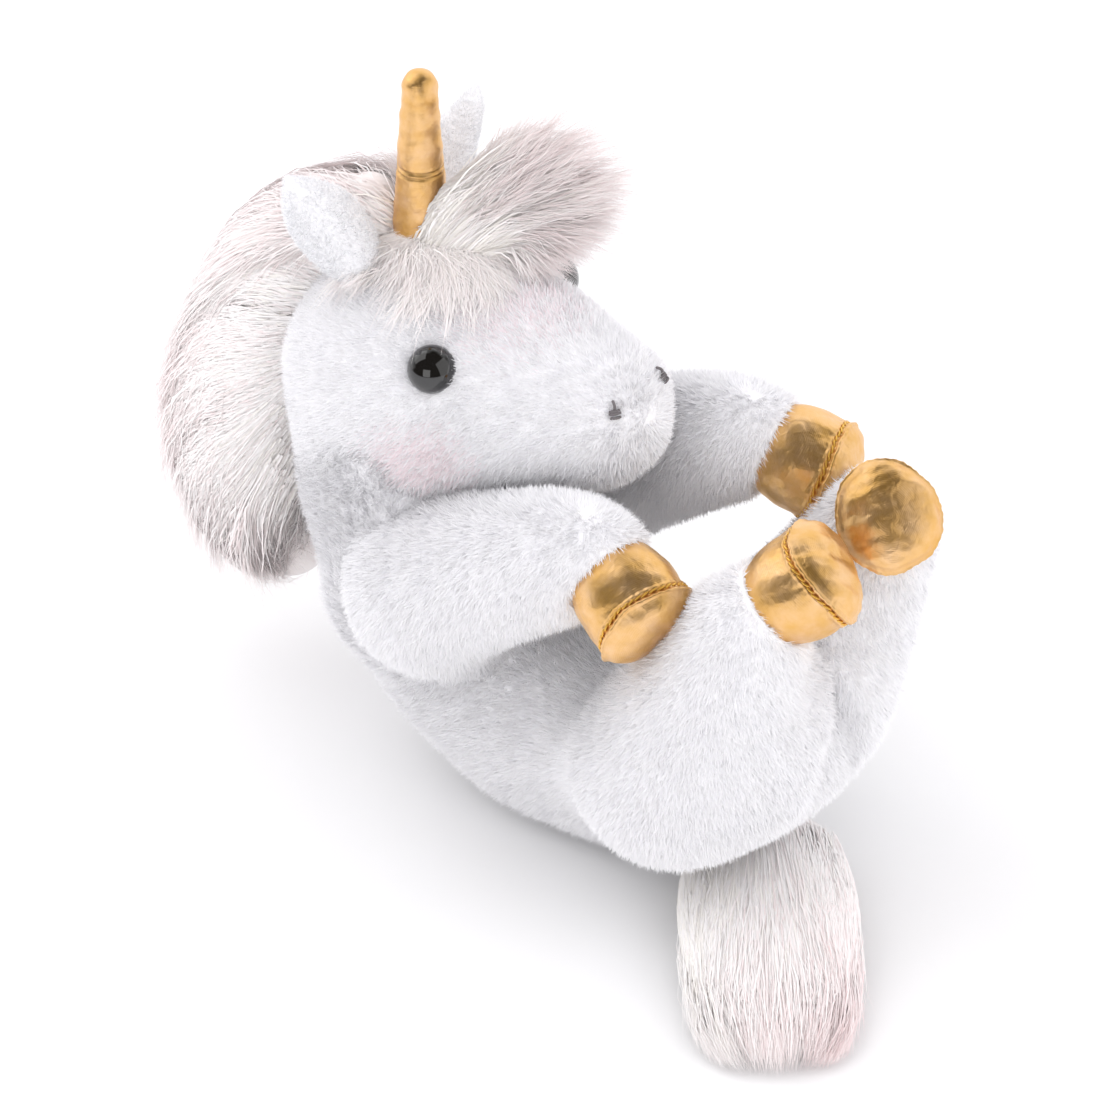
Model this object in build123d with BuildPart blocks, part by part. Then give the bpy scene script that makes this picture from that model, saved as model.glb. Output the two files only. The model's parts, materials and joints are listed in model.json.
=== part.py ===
"""A plush unicorn, lying curled on its rounded back with its four feet in the air.

Millimetres. +X is the animal's left, it faces -Y and +Z is up. The origin is the middle of
the flat patch of its back that it rests on. Each leg, the head, each ear and the tail is a
stuffed piece of its own that flexes at its seam, so each is modelled clear of its neighbours.
"""

import os
from math import asin, cos, radians, sin, sqrt

from build123d import *

# Cloth and clearances.
SKIN = 2.5  # plush cloth with its pile pressed flat
FOIL = 1.0  # foil-printed knit of hooves and horn
FIT = 0.1  # between a cover and its stuffing
GAP = 0.5  # between two pieces that flex past each other
TOUCH = 0.05  # between two pieces that are sewn or pressed together

# Body: a round tube bent along an arc in the middle plane, open side up.
BODY_R = 28.5
ARC_R = 59.0
REST_CUT = 2.5  # how far the back is pressed flat by the toy's weight
ARC_Z = ARC_R + BODY_R - REST_CUT
HIND_ANGLE = 45.0  # from straight down, towards the feet
NECK_ANGLE = 80.0  # from straight down, towards the head
NECK_R = 27.0

# Head: a cranium ball that nods in the hollow of the neck, and a muzzle ball.
HEAD = Vector(0, 48.8, 113.5)
HEAD_R = 35.5
MUZZLE = Vector(0, 2.8, 118.4)
MUZZLE_R = 21.0
COLLAR_DROP = 26.0  # from the cranium's centre down to the neck's rim

# Safety eyes and nostril stitches.
EYE = Vector(25, 31, 131.7)
EYE_R = 6.0
EYE_RISE = 4.5
STEM_R = 1.9
STEM_LENGTH = 13.0
WASHER_R = 7.0
WASHER_T = 1.4
WASHER_CLEAR = 0.9  # between the flat washer's middle and the curved cloth
NOSTRIL = Vector(10, -12.2, 128.0)
NOSTRIL_WIDTH = 1.3
NOSTRIL_LENGTH = 3.6

# Horn.
HORN_Y = 54.0
HORN_BASE_R = 7.2
HORN_TIP_R = 4.2
HORN_TOP = 195.0

# Ears: root, tip and the half-width and thickness of the leaf.
EAR_ROOT = {"left": Vector(18.2, 58.6, 146.2), "right": Vector(-18.2, 58.6, 146.2)}
EAR_TIP = {"left": Vector(35, 66, 166.5), "right": Vector(-35, 67, 178.0)}
EAR_ROLL_R = 2.8
EAR_ROLL_LENGTH = 12.0
EAR_HALF_WIDTH = 11.0
EAR_T = 5.0

# Legs: a ball at the joint, a wrist before the cuff, and each hoof's centre and direction.
SHOULDER = Vector(31, 29, 70)
SHOULDER_R = 19.0
FRONT_WRIST_R = 12.2
FRONT_WRIST = 7.0  # from the wrist to the cuff
HIP = Vector(26, -ARC_R * sin(radians(HIND_ANGLE)), ARC_Z - ARC_R * cos(radians(HIND_ANGLE)))
HIP_R = 21.5
HIND_WRIST_R = 11.9
HIND_WRIST = 4.0
HIP_SWINGS = (0, 10, 20)  # outward angles that the body leaves room for
CUFF_R = 11.2
CUFF_RUN = 6.0  # how far the wrist's taper is drawn past the cuff before it is cut
WRIST_STEP = 0.2  # the second taper starts this much thinner than the first one ends
CUFF_STEP = 0.4
HOOVES = {
    "front_left": (Vector(32, -36.5, 102.5), Vector(0.25, -0.91, -0.34)),
    "front_right": (Vector(-34, -33, 98.5), Vector(-0.20, -0.87, -0.46)),
    "hind_left": (Vector(18.5, -72, 107.7), Vector(-0.65, -0.49, 0.59)),
    "hind_right": (Vector(-18.5, -72, 107.7), Vector(0.46, -0.64, 0.62)),
}
HOOF_LENGTH = 17.0
HOOF_BASE_R = 10.8
HOOF_SOLE_R = 13.0
SOLE_RISE = 3.4
SEAM_R = 0.9

# Mane: how far the hair reaches from the cranium's centre, by angle from straight ahead.
MANE_HALF_WIDTH = 20.0
MANE_ROUND = 9.0
CREST_START = 124.0
CREST_END = 195.0
CREST_MIDDLE = 158.0
CREST_REACH = (47.0, 68.0, 78.0)  # from the cranium's centre at the start, middle and end
MANE_SINK = 3.0
NECK_MANE_START = 211.0
NECK_MANE_REACH = 90.0
NECK_MANE_MIDDLE = (121.0, 46.0)  # Y and Z
NECK_MANE_LOW = (106.0, 26.0)
NECK_MANE_INNER = (70.0, 50.0)

# Forelock, from its root beside the horn to its loose end.
FORELOCK_ROOT = Vector(3, 43, 147)
FORELOCK_END = Vector(31, 9, 168)
FORELOCK_ACROSS = (0.75, 0.66, 0)
FORELOCK_SECTIONS = [(0.0, 9, 6), (0.35, 16, 10), (0.7, 18, 11), (1.0, 9, 5)]

# Tail, lying on the floor, from the pivot of its root to its loose end.
TAIL_PIVOT = Vector(0, -56, 0)
TAIL_END = Vector(-58, -102, 0)
TAIL_ROOT_R = 7.5
TAIL_ROOT_H = 11.0
TAIL_SECTIONS = [(0.10, 14, 7.5), (0.35, 21, 9.5), (0.65, 24, 11), (0.88, 19, 8), (1.0, 8, 3.5)]

SIDES = {"left": 1, "right": -1}
OUT = "parts"


def save(context, label):
    """Label a finished piece and write it as one STEP file."""
    context.part.label = label
    export_step(context.part, f"{OUT}/{label}.step")


def sided(point, side):
    """A point given for the left side, on the side asked for."""
    return Vector(point.X * side, point.Y, point.Z)


def axial_plane(origin, direction):
    """A sketch plane whose y axis runs along the direction from the origin."""
    along = direction.normalized()
    across = along.cross(Vector(1, 0, 0) if abs(along.X) < 0.9 else Vector(0, 1, 0)).normalized()
    return Plane(origin=origin, x_dir=across, z_dir=across.cross(along))


def around_head(angle, reach):
    """A point in the middle plane, by angle from straight ahead and distance from the cranium."""
    turn = radians(angle)
    return HEAD.Y - reach * cos(turn), HEAD.Z + reach * sin(turn)


def neck_end():
    """The centre of the body tube's upper end."""
    turn = radians(NECK_ANGLE)
    return Vector(0, ARC_R * sin(turn), ARC_Z - ARC_R * cos(turn))


def hip_wrist(side):
    """The wrist of a hind leg."""
    base, along = hoof_base("hind_left" if side > 0 else "hind_right")
    return base - along * HIND_WRIST


def body_form(inset):
    """The body's outside moved inwards: bent tube, round ends, neck hollow and joint pockets."""
    radius = BODY_R - inset
    top = neck_end()
    towards_head = (HEAD - top).normalized()
    rim = (HEAD - top).length - COLLAR_DROP
    hip_end = Vector(0, HIP.Y, HIP.Z)
    along_arc = (0, cos(radians(HIND_ANGLE)), -sin(radians(HIND_ANGLE)))
    with BuildPart() as form:
        with BuildSketch(Plane(origin=hip_end, x_dir=(1, 0, 0), z_dir=along_arc)):
            Circle(radius)
        revolve(axis=Axis((0, 0, ARC_Z), (1, 0, 0)), revolution_arc=HIND_ANGLE + NECK_ANGLE)
        with Locations(hip_end, top):
            Sphere(radius)
        with BuildSketch(Plane(origin=top, x_dir=(1, 0, 0), z_dir=towards_head)):
            Circle(NECK_R - inset)
        extrude(amount=rim - inset)
        with Locations(HEAD):
            Sphere(HEAD_R + GAP + inset, mode=Mode.SUBTRACT)
        for side in SIDES.values():
            with Locations(sided(SHOULDER, side)):
                Sphere(SHOULDER_R + GAP + inset, mode=Mode.SUBTRACT)
            hip = sided(HIP, side)
            for swing in HIP_SWINGS:
                thigh = (hip_wrist(side) - hip).rotate(Axis.Y, swing * side)
                hollow = (HIP_R + GAP + inset, HIND_WRIST_R + 2 * GAP + inset)
                add(capsule_form(hip, hip + thigh, *hollow), mode=Mode.SUBTRACT)
        split(bisect_by=Plane.XY.offset(inset), keep=Keep.TOP)
    return form.part


def capsule_form(start, end, start_r, end_r):
    """Two balls and the cone that touches both."""
    length = (end - start).length
    tilt = asin((start_r - end_r) / length)
    with BuildPart() as form:
        with BuildSketch(axial_plane(start, end - start)):
            with BuildLine():
                foot = (start_r * cos(tilt), start_r * sin(tilt))
                head = (end_r * cos(tilt), length + end_r * sin(tilt))
                ThreePointArc((0, -start_r), (start_r, 0), foot)
                Line(foot, head)
                middle = (tilt + radians(90)) / 2
                ThreePointArc(
                    head, (end_r * cos(middle), length + end_r * sin(middle)), (0, length + end_r)
                )
                Line((0, length + end_r), (0, -start_r))
            make_face()
        revolve(axis=Axis(start, end - start))
    return form.part


def head_form(inset):
    """The head's outside moved inwards."""
    return capsule_form(HEAD, MUZZLE, HEAD_R - inset, MUZZLE_R - inset)


def hoof_base(name):
    """The middle of a hoof's cuff, and the direction from it to the sole."""
    centre, towards = HOOVES[name]
    along = towards.normalized()
    return centre - along * (HOOF_LENGTH / 2), along


def dome(radius, rise, level):
    """Three points of a round dome's arc: its rim, a point half-way and its crown."""
    ball_r = (radius**2 + rise**2) / (2 * rise)
    half_way = asin(radius / ball_r) / 2
    return (
        (radius, level),
        (ball_r * sin(half_way), level + rise - ball_r * (1 - cos(half_way))),
        (0, level + rise),
    )


def hoof_form(name, inset):
    """A hoof's outside moved inwards: a cone that widens to a domed sole."""
    base, along = hoof_base(name)
    with BuildPart() as form:
        with BuildSketch(axial_plane(base, along)):
            with BuildLine():
                sole = dome(HOOF_SOLE_R - inset - FIT, SOLE_RISE, HOOF_LENGTH - inset)
                Polyline((0, 0), (HOOF_BASE_R - inset, 0), sole[0])
                ThreePointArc(*sole)
                Line(sole[2], (0, 0))
            make_face()
        revolve(axis=Axis(base, along))
    return form.part


def leg_form(name, inset):
    """A leg's outside moved inwards: a taper from the joint's ball to a bent wrist and cuff."""
    front = name.startswith("front")
    joint = sided(SHOULDER if front else HIP, SIDES[name.split("_")[1]])
    root_r, wrist_r = (SHOULDER_R, FRONT_WRIST_R) if front else (HIP_R, HIND_WRIST_R)
    base, along = hoof_base(name)
    wrist = base - along * (FRONT_WRIST if front else HIND_WRIST)
    with BuildPart() as form:
        add(capsule_form(joint, wrist, root_r - inset, wrist_r - inset))
        end = base + along * CUFF_RUN
        add(capsule_form(wrist, end, wrist_r - inset - WRIST_STEP, CUFF_R - inset - CUFF_STEP))
        split(bisect_by=Plane(origin=base, z_dir=along), keep=Keep.BOTTOM)
    return form.part


def make_leg(name):
    """A leg: plush cover, stuffing, and a hoof of foil wrap, domed sole and stitched seam."""
    base, along = hoof_base(name)
    with BuildPart() as cover:
        add(leg_form(name, 0))
        add(leg_form(name, SKIN), mode=Mode.SUBTRACT)
    save(cover, f"{name}_leg_cover")
    wall = [
        (HOOF_BASE_R - FOIL, 0),
        (HOOF_BASE_R, 0),
        (HOOF_SOLE_R, HOOF_LENGTH),
        (HOOF_SOLE_R - FOIL, HOOF_LENGTH),
    ]
    with BuildPart() as wrap:
        add(turned(axial_plane(base, along), Axis(base, along), wall))
    save(wrap, f"{name}_hoof_wrap")
    with BuildPart() as sole:
        with BuildSketch(axial_plane(base, along)):
            with BuildLine():
                outer = dome(HOOF_SOLE_R, SOLE_RISE, HOOF_LENGTH)
                inner = dome(HOOF_SOLE_R - FOIL, SOLE_RISE - FOIL, HOOF_LENGTH)
                ThreePointArc(*outer)
                Line(outer[2], inner[2])
                ThreePointArc(*inner)
                Line(inner[0], outer[0])
            make_face()
        revolve(axis=Axis(base, along))
    save(sole, f"{name}_hoof_sole")
    with BuildPart() as seam:
        with BuildSketch(axial_plane(base, along)):
            with Locations((HOOF_SOLE_R + SEAM_R + TOUCH, HOOF_LENGTH)):
                Circle(SEAM_R)
        revolve(axis=Axis(base, along))
    save(seam, f"{name}_hoof_seam")
    with BuildPart() as stuffing:
        add(leg_form(name, SKIN + FIT))
        add(hoof_form(name, FOIL + FIT))
    save(stuffing, f"{name}_leg_stuffing")


def eye_tools(side):
    """An eye's sketch plane and axis, square to the face's cone, and the cone's reach along it."""
    along = (MUZZLE - HEAD).normalized()
    slope = (HEAD_R - MUZZLE_R) / (MUZZLE - HEAD).length
    offset = sided(EYE, side) - HEAD
    ahead = offset.dot(along)
    aside = (offset - along * ahead).normalized()
    outward = aside * sqrt(1 - slope**2) + along * slope
    foot = (ahead - slope * HEAD_R) / (1 - slope**2)
    origin = HEAD + along * foot
    return axial_plane(origin, outward), Axis(origin, outward), HEAD_R - slope * foot


def turned(plane, axis, outline):
    """A solid turned about an axis from an outline of straight lines."""
    with BuildPart() as form:
        with BuildSketch(plane):
            with BuildLine():
                Polyline(*outline, close=True)
            make_face()
        revolve(axis=axis)
    return form.part


def eye_stem(side, radius):
    """The round post that holds an eye in the head."""
    plane, axis, reach = eye_tools(side)
    low, high = reach - STEM_LENGTH, reach + STEM_R
    return turned(plane, axis, [(0, low), (radius, low), (radius, high), (0, high)])


def eye_washer(side, growth):
    """The disc pushed onto an eye's post, inside the cover."""
    plane, axis, reach = eye_tools(side)
    high = reach - SKIN - WASHER_CLEAR + growth
    low = high - WASHER_T - 2 * growth
    outer = WASHER_R + growth
    hole = 0 if growth else STEM_R + FIT
    return turned(plane, axis, [(hole, low), (outer, low), (outer, high), (hole, high)])


def make_eyes():
    """Domed safety eyes with their posts and washers."""
    for label, side in SIDES.items():
        plane, axis, reach = eye_tools(side)
        with BuildPart() as eye:
            with BuildSketch(plane):
                with BuildLine():
                    low = reach - STEM_LENGTH
                    face = reach + TOUCH
                    front = dome(EYE_R, EYE_RISE, face)
                    Polyline(front[2], (0, low), (STEM_R, low), (STEM_R, face), front[0])
                    ThreePointArc(*front)
                make_face()
            revolve(axis=axis)
        save(eye, f"eye_{label}")
        with BuildPart() as washer:
            add(eye_washer(side, 0))
        save(washer, f"eye_washer_{label}")


def horn_form(inset):
    """The horn's outside moved inwards: a slim taper with a round tip, cut by the head."""
    with BuildPart() as form:
        with BuildSketch(Plane(origin=(0, HORN_Y, 0), x_dir=(1, 0, 0), z_dir=(0, -1, 0))):
            with BuildLine():
                low = HEAD.Z + HEAD_R * 0.8
                shoulder = (HORN_TIP_R - inset, HORN_TOP - HORN_TIP_R)
                Polyline((0, low), (HORN_BASE_R - inset, low), shoulder)
                turn = radians(45)
                ThreePointArc(
                    shoulder,
                    (shoulder[0] * cos(turn), shoulder[1] + shoulder[0] * sin(turn)),
                    (0, shoulder[1] + shoulder[0]),
                )
                Line((0, shoulder[1] + shoulder[0]), (0, low))
            make_face()
        revolve(axis=Axis((0, HORN_Y, 0), (0, 0, 1)))
        with Locations(HEAD):
            Sphere(HEAD_R + inset, mode=Mode.SUBTRACT)
    return form.part


def make_head():
    """The head's cover and stuffing, nostril stitches and horn."""
    with BuildPart() as cover:
        add(head_form(0))
        add(head_form(SKIN), mode=Mode.SUBTRACT)
        for side in SIDES.values():
            add(eye_stem(side, STEM_R + FIT), mode=Mode.SUBTRACT)
    save(cover, "head_cover")
    with BuildPart() as stuffing:
        add(head_form(SKIN + FIT))
        for side in SIDES.values():
            add(eye_stem(side, STEM_R + FIT), mode=Mode.SUBTRACT)
            add(eye_washer(side, FIT), mode=Mode.SUBTRACT)
    save(stuffing, "head_stuffing")
    for label, side in SIDES.items():
        with BuildPart() as nostril:
            with Locations(sided(NOSTRIL, side)):
                Cylinder(NOSTRIL_WIDTH / 2, NOSTRIL_LENGTH)
            add(head_form(0), mode=Mode.SUBTRACT)
        save(nostril, f"nostril_{label}")
    with BuildPart() as horn:
        add(horn_form(0))
        add(horn_form(FOIL), mode=Mode.SUBTRACT)
    save(horn, "horn_cover")
    with BuildPart() as filling:
        add(horn_form(FOIL + FIT))
    save(filling, "horn_stuffing")


def make_mane():
    """The mane in two lengths, one sewn into the head's seam and one into the neck's."""
    with BuildPart() as crest:
        with BuildSketch(Plane.YZ):
            with BuildLine():
                start_in = around_head(CREST_START, HEAD_R - MANE_SINK)
                start_out = around_head(CREST_START, CREST_REACH[0])
                end_out = around_head(CREST_END, CREST_REACH[2])
                end_in = around_head(CREST_END, HEAD_R - MANE_SINK)
                Line(start_in, start_out)
                ThreePointArc(start_out, around_head(CREST_MIDDLE, CREST_REACH[1]), end_out)
                Line(end_out, end_in)
                ThreePointArc(end_in, around_head(CREST_MIDDLE, HEAD_R - MANE_SINK), start_in)
            make_face()
        extrude(amount=MANE_HALF_WIDTH, both=True)
        outer = crest.edges().filter_by(Plane.YZ).filter_by(GeomType.CIRCLE).sort_by(SortBy.LENGTH)
        fillet(outer[-2:], MANE_ROUND)
        with Locations(HEAD):
            Sphere(HEAD_R, mode=Mode.SUBTRACT)
    save(crest, "mane_crest")
    with BuildPart() as neck:
        with BuildSketch(Plane.YZ):
            with BuildLine():
                high_in = around_head(NECK_MANE_START, HEAD_R + 1)
                high_out = around_head(NECK_MANE_START, NECK_MANE_REACH)
                Line(high_in, high_out)
                ThreePointArc(high_out, NECK_MANE_MIDDLE, NECK_MANE_LOW)
                Line(NECK_MANE_LOW, NECK_MANE_INNER)
                Line(NECK_MANE_INNER, high_in)
            make_face()
        extrude(amount=MANE_HALF_WIDTH, both=True)
        outer = neck.edges().filter_by(Plane.YZ).filter_by(GeomType.CIRCLE)
        fillet(outer, MANE_ROUND)
        with Locations(HEAD):
            Sphere(HEAD_R + GAP, mode=Mode.SUBTRACT)
        add(body_form(0), mode=Mode.SUBTRACT)
    save(neck, "mane_neck")


def make_forelock():
    """The tuft of hair that stands out beside the horn."""
    reach = FORELOCK_END - FORELOCK_ROOT
    with BuildPart() as forelock:
        for place, half_width, half_depth in FORELOCK_SECTIONS:
            centre = FORELOCK_ROOT + reach * place
            with BuildSketch(Plane(origin=centre, x_dir=FORELOCK_ACROSS, z_dir=reach)):
                Ellipse(half_width, half_depth)
        loft()
        add(head_form(0), mode=Mode.SUBTRACT)
        with Locations((0, HORN_Y, HEAD.Z)):
            Cylinder(
                HORN_BASE_R + FIT,
                HORN_TOP - HEAD.Z,
                align=(Align.CENTER, Align.CENTER, Align.MIN),
                mode=Mode.SUBTRACT,
            )
    save(forelock, "forelock")


def make_ears():
    """Leaf-shaped ears of two panels, back and lining, each with a rolled root that flexes."""
    for label in SIDES:
        root = EAR_ROOT[label]
        along = EAR_TIP[label] - root
        length = along.length
        across = along.cross(root - HEAD).normalized()
        flat = Plane(origin=root, x_dir=across, z_dir=across.cross(along))
        with BuildPart() as ear:
            with BuildSketch(flat):
                with BuildLine():
                    for side in (-1, 1):
                        ThreePointArc((0, 0), (side * EAR_HALF_WIDTH, length * 0.45), (0, length))
                make_face()
            extrude(amount=EAR_T / 2, both=True)
            with BuildSketch(Plane(origin=root - across * (EAR_ROLL_LENGTH / 2), z_dir=across)):
                Circle(EAR_ROLL_R)
            extrude(amount=EAR_ROLL_LENGTH)
        for panel, keep in (("back", Keep.TOP), ("lining", Keep.BOTTOM)):
            with BuildPart() as half:
                add(ear.part)
                split(bisect_by=flat, keep=keep)
            save(half, f"ear_{panel}_{label}")


def make_tail():
    """The tail's hair, and the sewn root inside it that it swings about."""
    reach = TAIL_END - TAIL_PIVOT
    with BuildPart() as root:
        with Locations(TAIL_PIVOT + Vector(0, 0, 1 + (TAIL_ROOT_H - 1) / 2)):
            Cylinder(TAIL_ROOT_R, TAIL_ROOT_H - 1)
    save(root, "tail_root")
    with BuildPart() as hair:
        for place, half_width, half_height in TAIL_SECTIONS:
            centre = TAIL_PIVOT + reach * place + Vector(0, 0, half_height - 0.4)
            with BuildSketch(Plane(origin=centre, x_dir=Vector(0, 0, 1).cross(reach), z_dir=reach)):
                Ellipse(half_width, half_height)
        loft()
        split(bisect_by=Plane.XY, keep=Keep.TOP)
        add(root.part, mode=Mode.SUBTRACT)
    save(hair, "tail_hair")


def make_body():
    """The body's plush cover and its stuffing."""
    with BuildPart() as cover:
        add(body_form(0))
        add(body_form(SKIN), mode=Mode.SUBTRACT)
    save(cover, "body_cover")
    with BuildPart() as stuffing:
        add(body_form(SKIN + FIT))
    save(stuffing, "body_stuffing")


os.makedirs(OUT, exist_ok=True)
make_body()
make_head()
make_eyes()
make_mane()
make_forelock()
make_ears()
make_tail()
for leg in HOOVES:
    make_leg(leg)
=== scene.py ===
"""The soft, furred and gilded surfaces of a plush unicorn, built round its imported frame.

Lengths are in millimetres until a mesh is made. +X is the animal's left, it faces -Y and +Z is up.
Each cover is a closed skin under thousands of short plush fibres, each length of hair is a bundle
of tapered ribbons gathered into locks, and each hoof is a foil cone and dome with a stitched seam.
"""

from __future__ import annotations

import json
import logging
import math
from dataclasses import dataclass
from enum import Enum
from typing import Callable

import bpy
import numpy as np
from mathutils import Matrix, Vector


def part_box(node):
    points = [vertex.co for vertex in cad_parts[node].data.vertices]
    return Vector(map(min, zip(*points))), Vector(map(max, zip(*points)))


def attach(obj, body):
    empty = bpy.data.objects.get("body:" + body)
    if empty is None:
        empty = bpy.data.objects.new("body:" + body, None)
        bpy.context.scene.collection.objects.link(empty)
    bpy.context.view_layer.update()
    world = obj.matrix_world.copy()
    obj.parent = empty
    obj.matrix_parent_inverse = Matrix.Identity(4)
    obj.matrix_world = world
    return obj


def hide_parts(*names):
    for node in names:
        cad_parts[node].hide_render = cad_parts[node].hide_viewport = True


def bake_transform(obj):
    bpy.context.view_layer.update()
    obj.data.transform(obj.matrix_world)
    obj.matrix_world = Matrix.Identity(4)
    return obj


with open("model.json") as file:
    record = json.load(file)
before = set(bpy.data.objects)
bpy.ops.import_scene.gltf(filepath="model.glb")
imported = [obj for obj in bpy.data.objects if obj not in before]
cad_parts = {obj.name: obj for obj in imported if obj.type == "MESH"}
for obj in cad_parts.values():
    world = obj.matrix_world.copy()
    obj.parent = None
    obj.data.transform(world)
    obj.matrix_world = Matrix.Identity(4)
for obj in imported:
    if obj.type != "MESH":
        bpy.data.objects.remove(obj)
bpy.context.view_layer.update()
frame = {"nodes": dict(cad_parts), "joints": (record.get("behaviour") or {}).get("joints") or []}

Array = np.ndarray
MM = 0.001
BURIED = 7.0  # millimetres inside another form beyond which no fibre is needed
FLOOR_GAP = 0.15  # millimetres between the floor and the lowest cloth
FLOOR_SPAN = 4000  # millimetres from the middle of the floor to its edge
LOG = logging.getLogger("unicorn")
UP = np.array([0.0, 0.0, 1.0])


class Side(Enum):
    """A side of the animal, with the sign of its X."""

    LEFT = 1
    RIGHT = -1

    @property
    def word(self) -> str:
        """The side's name as the frame's nodes spell it."""
        return self.name.lower()


# ---------------------------------------------------------------------------------------------
# Finishes


def rgb(red: float, green: float, blue: float) -> tuple[float, float, float, float]:
    """A linear colour with full alpha."""
    return (red, green, blue, 1.0)


@dataclass(frozen=True)
class Fibre:
    """One dyed tone of plush or hair; cloth gets its pattern from many fibres of near tones."""

    name: str
    colour: tuple[float, float, float, float]
    roughness: float = 0.62
    sheen: float = 0.35

    def build(self) -> bpy.types.Material:
        """Make the tone's material.

        Returns:
            The material, all plain values, since a fibre is too thin to carry a pattern.
        """
        material, _, shader = new_material(self.name)
        shader.inputs["Base Color"].default_value = self.colour
        shader.inputs["Roughness"].default_value = self.roughness
        shader.inputs["Sheen Weight"].default_value = self.sheen
        shader.inputs["Sheen Roughness"].default_value = 0.4
        shader.inputs["Specular IOR Level"].default_value = 0.25
        return material


PLUSH_TONES = (
    Fibre("plush_white", rgb(0.945, 0.94, 0.955)),
    Fibre("plush_bright", rgb(0.96, 0.955, 0.965)),
    Fibre("plush_cool", rgb(0.925, 0.92, 0.945)),
    Fibre("plush_blush", rgb(0.95, 0.85, 0.875)),
)
HAIR_TONES = (
    Fibre("hair_cream", rgb(0.965, 0.935, 0.895), 0.5, 0.5),
    Fibre("hair_white", rgb(0.965, 0.94, 0.93), 0.5, 0.5),
    Fibre("hair_shell", rgb(0.96, 0.90, 0.89), 0.5, 0.5),
    Fibre("hair_pink", rgb(0.95, 0.845, 0.84), 0.5, 0.5),
    Fibre("hair_rose", rgb(0.94, 0.765, 0.765), 0.5, 0.5),
)
EAR_TONES = (
    Fibre("ear_white", rgb(0.935, 0.94, 0.96)),
    Fibre("ear_bright", rgb(0.96, 0.96, 0.97)),
)


class Nodes:
    """A short way to add and join shader nodes in one tree."""

    def __init__(self, tree: bpy.types.NodeTree) -> None:
        """Keep the tree that nodes are added to."""
        self.tree = tree

    def add(self, kind: str, **settings: object) -> bpy.types.Node:
        """Add a node.

        Args:
            kind: The node's type without its "ShaderNode" prefix.
            settings: Node properties, or socket values by name with spaces as underscores.

        Returns:
            The new node.
        """
        node = self.tree.nodes.new("ShaderNode" + kind)
        for key, value in settings.items():
            if hasattr(node, key):
                setattr(node, key, value)
            else:
                node.inputs[key.replace("_", " ")].default_value = value
        return node

    def join(self, start: bpy.types.NodeSocket, end: bpy.types.NodeSocket) -> None:
        """Link one socket to another."""
        self.tree.links.new(start, end)


def new_material(name: str) -> tuple[bpy.types.Material, Nodes, bpy.types.Node]:
    """A new material, a way to add to its tree, and its shader."""
    material = bpy.data.materials.new(name)
    material.use_nodes = True
    tree = material.node_tree
    return material, Nodes(tree), tree.nodes["Principled BSDF"]


def cloth_group() -> bpy.types.NodeTree:
    """A node group for worn, slightly creased cloth.

    Returns:
        A group with Scale and Depth inputs; its Mottle output is a soft mask and its Crease
        output a height, both from noise on object coordinates.
    """
    group = bpy.data.node_groups.new("creased_cloth", "ShaderNodeTree")
    for label, value in (("Scale", 60.0), ("Depth", 0.5)):
        socket = group.interface.new_socket(label, in_out="INPUT", socket_type="NodeSocketFloat")
        socket.default_value = value
    for label in ("Mottle", "Crease"):
        group.interface.new_socket(label, in_out="OUTPUT", socket_type="NodeSocketFloat")
    nodes = Nodes(group)
    source = group.nodes.new("NodeGroupInput")
    sink = group.nodes.new("NodeGroupOutput")
    place = nodes.add("TexCoord")
    mottle = nodes.add("TexNoise", Detail=4.0, Roughness=0.6)
    nodes.join(place.outputs["Object"], mottle.inputs["Vector"])
    nodes.join(source.outputs["Scale"], mottle.inputs["Scale"])
    crease = nodes.add("TexNoise", Detail=2.0, Roughness=0.4, Distortion=0.8)
    finer = nodes.add("Math", operation="MULTIPLY")
    finer.inputs[1].default_value = 3.0
    nodes.join(source.outputs["Scale"], finer.inputs[0])
    nodes.join(place.outputs["Object"], crease.inputs["Vector"])
    nodes.join(finer.outputs[0], crease.inputs["Scale"])
    deep = nodes.add("Math", operation="MULTIPLY")
    nodes.join(crease.outputs["Fac"], deep.inputs[0])
    nodes.join(source.outputs["Depth"], deep.inputs[1])
    nodes.join(mottle.outputs["Fac"], sink.inputs["Mottle"])
    nodes.join(deep.outputs[0], sink.inputs["Crease"])
    return group


@dataclass(frozen=True)
class Cloth:
    """Woven or knitted backing whose colour wanders between two tones."""

    name: str
    dark: tuple[float, float, float, float]
    light: tuple[float, float, float, float]
    roughness: float = 0.85
    scale: float = 90.0

    def build(self, group: bpy.types.NodeTree) -> bpy.types.Material:
        """Make the cloth.

        Args:
            group: The creased cloth group.

        Returns:
            The material.
        """
        material, nodes, shader = new_material(self.name)
        worn = material.node_tree.nodes.new("ShaderNodeGroup")
        worn.node_tree = group
        worn.inputs["Scale"].default_value = self.scale
        ramp = nodes.add("ValToRGB")
        ramp.color_ramp.elements[0].color = self.dark
        ramp.color_ramp.elements[1].color = self.light
        bump = nodes.add("Bump", Strength=0.3, Distance=0.0004)
        nodes.join(worn.outputs["Mottle"], ramp.inputs["Fac"])
        nodes.join(ramp.outputs["Color"], shader.inputs["Base Color"])
        nodes.join(worn.outputs["Crease"], bump.inputs["Height"])
        nodes.join(bump.outputs["Normal"], shader.inputs["Normal"])
        shader.inputs["Roughness"].default_value = self.roughness
        shader.inputs["Sheen Weight"].default_value = 0.3
        return material


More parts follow.
